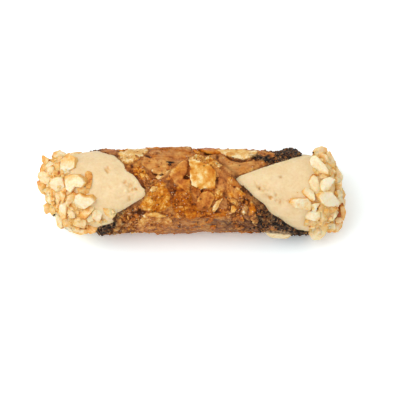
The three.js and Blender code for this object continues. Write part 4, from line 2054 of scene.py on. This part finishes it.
    def loose_chip(self, draw: random.Random, size: Vector) -> Mesh:
        """Builds a chip as a block with flat breaks.

        Args:
            draw: the seeded draw.
            size: length, width and thickness.

        Returns:
            Its mesh in millimetres, about the origin.
        """
        part = bmesh.new()
        bmesh.ops.create_cube(part, size=1.0)
        bmesh.ops.scale(part, vec=size, verts=part.verts[:])
        for _ in range(draw.randint(*self.loose_breaks)):
            cut = Vector([draw.uniform(-1, 1) for _ in range(3)]).normalized()
            reach = max(vertex.co.dot(cut) for vertex in part.verts)
            self.chop(part, cut, reach * draw.uniform(*self.loose_depth))
        bmesh.ops.remove_doubles(part, verts=part.verts[:], dist=self.loose_weld)
        bmesh.ops.recalc_face_normals(part, faces=part.faces[:])
        self.blunt(part, self.loose_bevel * self.bevel)
        bmesh.ops.triangulate(part, faces=part.faces[:])
        self.roughen(part, self.loose_rough, draw.uniform(0, 90))
        return part

    def scatter(self, cream: Piece, draw: random.Random, spacing: float) -> list[int]:
        """Chooses places for chips, spread evenly over the coat.

        Args:
            cream: the cream.
            draw: the seeded draw.
            spacing: least distance between two chips.

        Returns:
            Numbers of the cream's vertices.
        """
        places = coordinates(cream.data.vertices)
        coated = carried(cream, "coat") > self.coat_least
        spots = np.flatnonzero(coated & (places[:, 2] > self.floor_gap * MM)).tolist()
        draw.shuffle(spots)
        near = np.zeros((0, 3))
        chosen = []
        for index in spots:
            if np.any(np.linalg.norm(near - places[index], axis=1) < spacing * MM):
                continue
            near = np.vstack((near, places[index]))
            chosen.append(index)
        return chosen

    def covered(self, vertex: bpy.types.MeshVertex) -> float:
        """How far, in pixels, a place on the cream lies within the shown chips.

        Args:
            vertex: a vertex of the cream.

        Returns:
            The distance from the nearest outline, negative outside, and far so on the hidden side.
        """
        if vertex.normal.dot(Vector(self.view.back)) < self.side_on:
            return -float(self.view.pixels)
        pixel = self.view.project(np.array([vertex.co[:]]) / MM)
        return max(float(outline_depth(chip.outline, pixel)[0]) for chip in self.chips)

    def build_chips(self, cream: Piece, skin: BVHTree) -> Piece:
        """Makes all chips as one piece.

        Args:
            cream: the cream that they stick to.
            skin: its surface.

        Returns:
            The chips, each closed.
        """
        draw = random.Random(self.chip_seed)
        heap = Heap("chopped_nuts")
        for chip in self.chips:
            part, depth = self.shown_chip(chip, skin, draw)
            # The sides darken: partly the toasted skin, partly painted shade
            tone = chip.tone.value + self.face_tone - self.side_tone * ease(depth, *self.shoulder)
            tone = tone - self.side_tone * ease(depth, *self.flank)
            self.bed(heap, part, Matrix.Scale(MM, 4), tone)
        shown = BVHTree.FromBMesh(heap.mesh)
        for index in self.scatter(cream, draw, self.spacing):
            vertex = cream.data.vertices[index]
            covered = self.covered(vertex)
            if covered > self.well_covered and shown.find_nearest(vertex.co)[3] < self.bare * MM:
                continue
            length = draw.uniform(*(self.filling_length if covered > -self.filled_near else self.length))
            shares = (1.0, draw.uniform(*self.width_share), draw.uniform(*self.depth_share))
            size = Vector([length * share for share in shares])
            aim = vertex.normal + self.loose_aim * Vector([draw.uniform(-1, 1) for _ in range(3)])
            turned = aim.to_track_quat("Z", "X").to_matrix().to_4x4()
            spin = Matrix.Rotation(draw.uniform(0, math.tau), 4, "Z")
            rise = size.z * draw.uniform(*self.rise_share)
            rise -= self.lowered if covered > -self.lowered_near else 0.0
            lift = Matrix.Translation(vertex.co + vertex.normal * rise * MM)
            part = self.loose_chip(draw, size)
            place = lift @ turned @ spin @ Matrix.Scale(MM, 4)
            for _ in range(self.pushes):
                if self.sticks_out(part, place, skin):
                    place = Matrix.Translation(-vertex.normal * self.push * MM) @ place
            if self.sticks_out(part, place, skin):
                part.free()
                continue
            tone = self.crease_shaded_tone(part, place, skin, draw.gauss(*self.loose_tone))
            self.bed(heap, part, place, tone)
        return heap.piece(smooth=True)

    def sticks_out(self, part: Mesh, place: Matrix, skin: BVHTree) -> bool:
        """Whether a chip would show beyond the photographed outline.

        Args:
            part: the chip in millimetres.
            place: where it goes, in metres.
            skin: the cream's surface.

        Returns:
            True where some corner of it lies outside.
        """
        eye = Vector(self.view.eye) * MM
        beyond = [place @ vertex.co for vertex in part.verts]
        beyond = [there for there in beyond if skin.ray_cast(eye, there - eye)[0] is None]
        if not beyond:
            return False
        pixels = self.view.project(np.array([there[:] for there in beyond]) / MM)
        inside = np.max([outline_depth(chip.outline, pixels) for chip in self.chips], axis=0)
        return bool(np.min(inside) < -self.overhang)

    def crease_shaded_tone(self, part: Mesh, place: Matrix, skin: BVHTree, tone: float) -> Array:
        """Tones of a chip's vertices, with painted shade that darkens them towards the cream.

        Args:
            part: the chip in millimetres.
            place: where it goes, in metres.
            skin: the cream's surface.
            tone: how pale the chip is.

        Returns:
            One tone for each vertex.
        """
        heights = []
        for vertex in part.verts:
            there = place @ vertex.co
            spot, normal, _, _ = skin.find_nearest(there)
            heights.append((there - spot).dot(normal) / MM)
        # Painted shade: darker where the chip lies close to the cream
        drop = self.crease_shade_drop * (1 - ease(np.array(heights), *self.bedded))
        return np.maximum(tone - drop, self.least_tone)

    def bed(self, heap: Heap, part: Mesh, place: Matrix, tone: Array) -> None:
        """Puts one chip in its place, clear of the floor.

        Args:
            heap: the piece that takes it.
            part: the chip in millimetres.
            place: where it goes, in metres.
            tone: how pale each vertex is.
        """
        bmesh.ops.transform(part, matrix=place, verts=part.verts[:])
        off_floor(part)
        heap.add(part, tone=np.clip(tone, 0, 1))

    def build_crumbs(self, cream: Piece, skin: BVHTree) -> Piece:
        """Scatters crumbs between the chips.

        Args:
            cream: the cream that they stick to.
            skin: its surface.

        Returns:
            The crumbs as one piece.
        """
        draw = random.Random(self.crumb_seed)
        heap = Heap("nut_crumbs")
        for index in self.scatter(cream, draw, self.crumb_spacing)[: self.crumbs]:
            vertex = cream.data.vertices[index]
            part = bmesh.new()
            bmesh.ops.create_cube(part, size=draw.uniform(*self.crumb_size))
            for corner in part.verts:
                corner.co *= draw.uniform(*self.crumb_uneven)
            spin = Matrix.Rotation(draw.uniform(0, math.tau), 3, "X")
            bmesh.ops.rotate(part, matrix=spin, verts=part.verts[:])
            lift = Matrix.Translation(vertex.co + vertex.normal * draw.uniform(*self.crumb_lift) * MM)
            place = lift @ Matrix.Scale(MM, 4)
            tone = self.crease_shaded_tone(part, place, skin, draw.uniform(*self.crumb_tone))
            if self.sticks_out(part, place, skin):
                part.free()
                continue
            self.bed(heap, part, place, tone)
        return heap.piece(smooth=False)

    def build_strays(self, skin: BVHTree) -> Piece:
        """Makes the burnt crumbs of pastry that lie among the nuts.

        Args:
            skin: the surface of cream and nuts.

        Returns:
            The crumbs as one piece.
        """
        heap = Heap("burnt_crumbs")
        for stray in self.strays:
            spot, normal = self.met(skin, stray.pixel)
            part = bmesh.new()
            bmesh.ops.create_icosphere(part, subdivisions=1, radius=0.5)
            bmesh.ops.scale(part, vec=(stray.length, stray.width, stray.width), verts=part.verts[:])
            up = Vector(self.view.up)
            cosine, sine = math.cos(math.radians(stray.spin)), math.sin(math.radians(stray.spin))
            axes = (ACROSS * cosine + up * sine, up * cosine - ACROSS * sine, Vector(self.view.back))
            turned = Matrix(axes).transposed().to_4x4()
            place = Matrix.Translation(spot + normal * self.stray_lift * MM) @ turned @ Matrix.Scale(MM, 4)
            bmesh.ops.transform(part, matrix=place, verts=part.verts[:])
            heap.add(part, tone=0.2, caramel=0.0, crumb=0.2, crevice=0.0, burn=0.95, grey=0.0)
        return heap.piece(smooth=True)

    def build(self, cream: Piece, finish: Material, crust: Material) -> None:
        """Builds and dresses the nuts.

        Args:
            cream: the cream that they stick to.
            finish: the nuts' material.
            crust: the pastry's material, for its stray crumbs.
        """
        shape = bmesh.new()
        shape.from_mesh(cream.data)
        skin = BVHTree.FromBMesh(shape)
        chips = seat(self.build_chips(cream, skin), finish)
        seat(self.build_crumbs(cream, skin), finish)
        shape.from_mesh(chips.data)
        seat(self.build_strays(BVHTree.FromBMesh(shape)), crust)
        shape.free()


# Chips that the photograph shows, the left end's first and lower ones before those that lie on them
SHOWN_CHIPS = (
    Chip(((53, 156), (56, 156.5), (60, 158), (60.5, 161.5), (57, 163.5), (53.5, 161)), Nut.TAN, 1.4),
    Chip(((48, 168), (51, 166.5), (54, 168), (55, 172), (52, 175), (48.5, 173)), Nut.TAN, 1.6),
    Chip(((53.5, 172), (56, 170.5), (58.5, 172), (57.5, 176), (54, 176.5)), Nut.TAN, 1.3),
    Chip(((42, 156), (44, 156), (48.5, 159), (47.5, 162), (45, 164), (42.5, 161)), Nut.GOLDEN, 1),
    Chip(((54, 156), (56, 152), (60, 151), (64, 153), (66, 155), (62, 158), (56, 158)), Nut.TAN, 1.4),
    Chip(((65, 156), (70, 154), (76, 152.5), (81, 152.5), (80, 155), (74, 157), (67, 158)), Nut.GOLDEN, 0.6),
    Chip(((50, 161), (53, 159), (56, 159.5), (55, 161.5), (51, 163)), Nut.GOLDEN, 1.2),
    Chip(((46, 163), (50, 162), (54, 163), (55, 166), (52, 168), (48, 168)), Nut.PALE, 1.6),
    Chip(((53, 168), (57, 164), (60, 162), (60, 169), (57, 171)), Nut.AMBER, 0.6),
    Chip(((39, 168), (42, 164), (46, 164), (49, 168), (48, 172), (44, 171), (39.5, 172)), Nut.TAN, 1.4),
    Chip(((61, 160), (64, 157.5), (69, 156), (73, 157.5), (73.5, 167), (69, 170), (62, 173), (61, 169)),
         Nut.IVORY, 2.6),
    Chip(((39, 173), (43, 171.5), (49, 173.5), (53, 177), (52, 181), (48, 184), (42, 182), (38, 177)),
         Nut.TAN, 1.8),
    Chip(((56, 175), (58, 172), (61, 173), (60.5, 178), (58, 179)), Nut.GOLDEN, 1.4),
    Chip(((37, 182.5), (39.5, 182), (44, 184.5), (49, 188.5), (48, 193), (46, 194.5), (41, 192.5),
          (38.5, 187)), Nut.GOLDEN, 1.2),
    Chip(((50, 183), (53, 179), (57, 177.5), (62, 178.5), (65, 186), (62, 191), (56, 191), (52, 188)),
         Nut.PALE, 2.2),
    Chip(((65, 177), (70, 175.5), (77, 176), (82, 179), (84.5, 183), (81, 187), (75, 186), (71, 192),
          (67, 189)), Nut.PALE, 2.4),
    Chip(((78, 189), (81, 187.5), (90, 188.5), (89.5, 192), (85, 193.5), (80, 192.5)), Nut.TAN, 1.2),
    Chip(((85.5, 172.5), (88, 171), (91, 172), (92, 176), (91, 183), (89.5, 186), (86, 185)), Nut.TAN, 2),
    Chip(((45, 195), (48, 193.5), (48.5, 201), (47.5, 204), (46, 200)), Nut.TAN, 1),
    Chip(((48.5, 191.5), (51, 191), (52, 196), (51.5, 203), (49, 203.5), (48, 198)), Nut.TAN, 1.6),
    Chip(((52, 191.5), (55, 193), (55.5, 200), (54, 204.5), (52, 203)), Nut.TAN, 1.2),
    Chip(((56, 193), (58, 191), (60, 193), (60, 199), (58, 203), (56.5, 200)), Nut.PALE, 1.8),
    Chip(((60.5, 193), (63, 190.5), (65.5, 193), (65, 197), (63, 201), (61, 199)), Nut.GOLDEN, 1.4),
    Chip(((44, 206), (48, 204.5), (50, 207), (49, 212), (46, 214), (44.5, 210)), Nut.TAN, 1),
    Chip(((49.5, 206.5), (52.5, 205), (54.5, 209), (55.5, 213), (52, 214.5), (49.5, 211)), Nut.GOLDEN, 1.2),
    Chip(((54, 206), (60, 205.5), (59.5, 211), (58, 214), (56, 210)), Nut.AMBER, 0.8),
    Chip(((56, 217), (58.5, 213.5), (62, 219), (62, 225), (60.5, 228), (57.5, 225.5)), Nut.PALE, 1),
    Chip(((60, 206), (63, 202), (66, 200), (67, 203), (65.5, 210), (65, 217), (61, 218.5), (60, 212)),
         Nut.PALE, 2),
    Chip(((66, 203), (68, 197), (73, 193.5), (76, 195), (75, 198.5), (71, 202), (68, 206)), Nut.TAN, 2),
    Chip(((69, 206), (71.5, 203), (74, 200), (75.5, 204), (76.5, 208.5), (74, 212), (71, 210)),
         Nut.PALE, 1.6),
    Chip(((68.5, 208), (71, 210.5), (74, 213), (75, 217.5), (70, 217), (68, 213)), Nut.TAN, 1.4),
    Chip(((79, 211), (86, 208), (91, 204.5), (95, 201), (95.5, 205.5), (92, 211), (85, 217.5), (80, 217)),
         Nut.TAN, 1.6),
    Chip(((75, 202), (76, 196), (80, 194.5), (84.5, 198), (90, 197.5), (94, 201), (90, 205), (84, 208.5),
          (77, 207)), Nut.PALE, 2.6),
    Chip(((95, 207), (98, 205.5), (101.5, 206.5), (102, 213), (100, 220.5), (98, 222.5), (93, 217),
          (93, 212)), Nut.PALE, 1.8),
    Chip(((103.5, 208.5), (112, 208), (118.5, 209.5), (115, 214.5), (112, 218), (106.5, 215)),
         Nut.GOLDEN, 0.8),
    Chip(((108, 210), (112, 210), (114, 212.5), (111, 214.5)), Nut.PALE, 1.3),
    Chip(((63, 222), (65, 216.5), (69, 215.5), (72.5, 218.5), (72, 223), (68, 226), (64, 226.5)),
         Nut.TAN, 1.8),
    Chip(((64, 227), (70, 225.5), (76, 227), (82, 229), (86.5, 230), (86, 233.5), (80, 234.5), (72, 232)),
         Nut.TAN, 1.2),
    Chip(((73.5, 221.5), (76, 218.5), (85.5, 219.5), (86, 223), (84, 228), (80, 226.5), (73, 224)),
         Nut.GOLDEN, 2),
    Chip(((86.5, 224), (89, 222), (94, 222), (97, 224.5), (96.5, 228.5), (94, 232), (90, 233.5), (87, 231)),
         Nut.TAN, 1.6),
    Chip(((87, 214), (91, 211), (93, 215), (93, 220), (89, 221.5), (86, 218)), Nut.TAN, 1.2),
    Chip(((314.5, 151), (317, 148), (321.5, 147), (326, 148), (327, 151), (325, 154.5), (316, 155)),
         Nut.TAN, 1.2),
    Chip(((327, 153), (330, 152), (332.5, 157), (335, 163), (335, 167), (331, 166), (327, 160)),
         Nut.TAN, 1.2),
    Chip(((319, 156), (323, 154.5), (327, 156), (328, 160), (327, 165), (324, 161), (320, 159)),
         Nut.TAN, 1.2),
    Chip(((310, 161), (313, 156.5), (316, 156), (324.5, 165), (328, 170), (327.5, 173.5), (319, 172),
          (311, 165)), Nut.PALE, 2.4),
    Chip(((328.5, 170), (331, 166), (334, 166), (338, 169.5), (343.5, 175.5), (337, 176), (329, 173)),
         Nut.GOLDEN, 1.4),
    Chip(((330, 177), (337, 176.5), (343, 178), (341, 181.5), (336, 181.5), (333, 180)), Nut.TAN, 1.4),
    Chip(((320.5, 176), (323, 174), (327, 175), (326, 177.5), (321, 178.5)), Nut.PALE, 1.4),
    Chip(((309.5, 182), (311.5, 177.5), (314, 176), (317, 178), (320, 187), (320.5, 195), (317, 195.5),
          (312, 188)), Nut.TAN, 1.8),
    Chip(((320.5, 183), (324, 179.5), (329, 177.5), (335, 180), (331, 185), (328.5, 190), (325, 192),
          (321.5, 189)), Nut.IVORY, 2.4),
    Chip(((333, 186), (335.5, 182.5), (338.5, 181), (341, 184), (342.5, 188), (337, 187.5)), Nut.AMBER, 1),
    Chip(((331, 191), (336, 189), (342, 189.5), (345, 194.5), (344, 199), (340, 200), (336, 198)),
         Nut.TAN, 1.4),
    Chip(((337, 199.5), (341, 198.5), (345, 200), (344.5, 206), (340, 207.5), (337.5, 205)), Nut.TAN, 0.9),
    Chip(((304, 190.5), (306.5, 188), (311, 188.5), (313, 192), (315, 198), (314, 200), (310, 198),
          (306, 194)), Nut.PALE, 1.6),
    Chip(((295, 188), (298, 187), (299.5, 190), (297, 192)), Nut.TAN, 0.6),
    Chip(((291, 203.5), (293, 200), (300, 199), (307, 199), (310, 202), (311, 207), (309, 210), (296, 207.5)),
         Nut.PALE, 1.8),
    Chip(((320, 197), (325, 193), (331, 192), (339, 201.5), (338.5, 204.5), (333, 206), (326, 205.5),
          (322, 202)), Nut.IVORY, 2.4),
    Chip(((311.5, 205), (315, 203.5), (319.5, 204), (316, 207), (316, 210.5), (313, 211)), Nut.PALE, 1.6),
    Chip(((320, 206), (325, 206), (326, 211), (325, 219), (322, 222), (319.5, 218), (319, 210)),
         Nut.TAN, 1.2),
    Chip(((325.5, 207), (331, 206), (336, 207), (335, 210.5), (331, 212), (326, 211)), Nut.GOLDEN, 1.2),
    Chip(((327, 215), (331, 212), (336, 211), (336, 216), (333, 220), (329, 221.5), (327, 219)),
         Nut.PALE, 1.8),
    # Painted shade: a dark chip that fills a shaded gap between chips
    Chip(((335, 207.5), (340.5, 207.5), (340.5, 217), (335.5, 216)), Nut.SHADED_GAP, 1),
    Chip(((340.5, 208), (344.5, 207), (345.5, 213), (344, 220), (341.5, 219.5)), Nut.GOLDEN, 1.2),
    Chip(((336, 219), (339, 217), (342, 220), (340, 222), (337, 222)), Nut.PALE, 1.4),
    Chip(((336, 223), (340, 222), (343.5, 222), (342, 227), (338.5, 231), (336, 232), (334, 229)),
         Nut.TAN, 1.2),
    Chip(((326, 224), (331, 223), (335, 224), (334.5, 229), (331, 232), (327, 230)), Nut.TAN, 1.4),
    Chip(((303, 223.5), (305, 219.5), (311, 220.5), (316.5, 221.5), (314, 225)), Nut.GOLDEN, 1),
    Chip(((304, 215), (307, 211.5), (313, 211), (319, 212.5), (319.5, 217.5), (317, 221), (306, 218.5)),
         Nut.PALE, 1.8),
    Chip(((312, 224), (316, 222), (319, 224), (318, 227.5), (314, 227)), Nut.PALE, 1.2),
    Chip(((309, 233), (313, 228), (318, 225), (323, 223.5), (327, 228), (325, 234), (320, 238.5), (314, 239)),
         Nut.TAN, 1.2),
)


@dataclass(frozen=True)
class Studio:
    """A light tent: an even glow all round, a soft box up on the left, and a floor that shows white."""

    floor_half: float = 1500.0
    floor_shade: Shade = (249, 249, 249)
    floor_shown: Triple = (1.25, 1.35, 1.38)
    box_size: float = 700.0
    box_height: float = 700.0
    box_aside: Pair = (-420.0, -130.0)
    box_watts: float = 3.2
    glow: float = 0.72

    def floor_finish(self) -> Material:
        """A white that shows brighter than it lights the food.

        Returns:
            The floor's material.
        """
        material, graph, shader = new_finish("white_floor")
        material.node_tree.nodes.remove(shader)
        plain = graph.add("BsdfDiffuse", {"Color": linear(self.floor_shade)})
        shown = graph.add("BsdfDiffuse", {"Color": (*self.floor_shown, 1.0)})
        path = graph.add("LightPath")
        parts = {0: path.outputs["Is Camera Ray"], 1: plain.outputs[0], 2: shown.outputs[0]}
        mixed = graph.add("MixShader", parts)
        graph.feed(material.node_tree.nodes["Material Output"].inputs["Surface"], mixed.outputs[0])
        return material

    def build(self) -> None:
        """Builds the floor, the lights and the way that light is shown."""
        mesh = bmesh.new()
        bmesh.ops.create_grid(mesh, x_segments=1, y_segments=1, size=self.floor_half * MM)
        floor = new_piece("studio_floor", mesh, smooth=False)
        floor.data.materials.append(self.floor_finish())
        data = bpy.data.lights.new("soft_box", "AREA")
        data.size = self.box_size * MM
        data.energy = self.box_watts
        lamp = bpy.data.objects.new("soft_box", data)
        lamp.location = Vector((*self.box_aside, self.box_height)) * MM
        lamp.rotation_mode = "QUATERNION"
        lamp.rotation_quaternion = lamp.location.to_track_quat("Z", "Y")
        lamp.visible_camera = False
        bpy.context.scene.collection.objects.link(lamp)
        world = bpy.data.worlds.new("even_glow")
        world.use_nodes = True
        backdrop = world.node_tree.nodes["Background"]
        backdrop.inputs["Color"].default_value = (1.0, 1.0, 1.0, 1.0)
        backdrop.inputs["Strength"].default_value = self.glow
        bpy.context.scene.world = world
        bpy.context.scene.view_settings.view_transform = "Standard"


def main() -> None:
    """Builds the cannolo and the studio round it."""
    logging.basicConfig(level=logging.INFO, format="%(name)s: %(message)s")
    view = PhotoView()
    view.make_camera()
    Studio().build()
    shared = SharedEffects()
    tube = Tube()
    left = CreamEnd(tube.left, shoulder=45.5, end=60.0, power=0.77, lean=0.23, nuts_from=48.0, dip=14.0)
    right = CreamEnd(tube.right, shoulder=48.0, end=60.0, power=0.58, lean=0.0, nuts_from=47.5, dip=3.0)
    crust = CrustFinish().material(shared)
    PastryShell(tube, view, SHOWN_SHEETS, LARGE_FLAKES).build(crust)
    cream = CreamFilling(tube, view, left, right).build(CreamFinish().material(shared))
    NutCoat(view, SHOWN_CHIPS).build(cream, NutFinish().material(shared), crust)


if __name__ == "__main__":
    main()
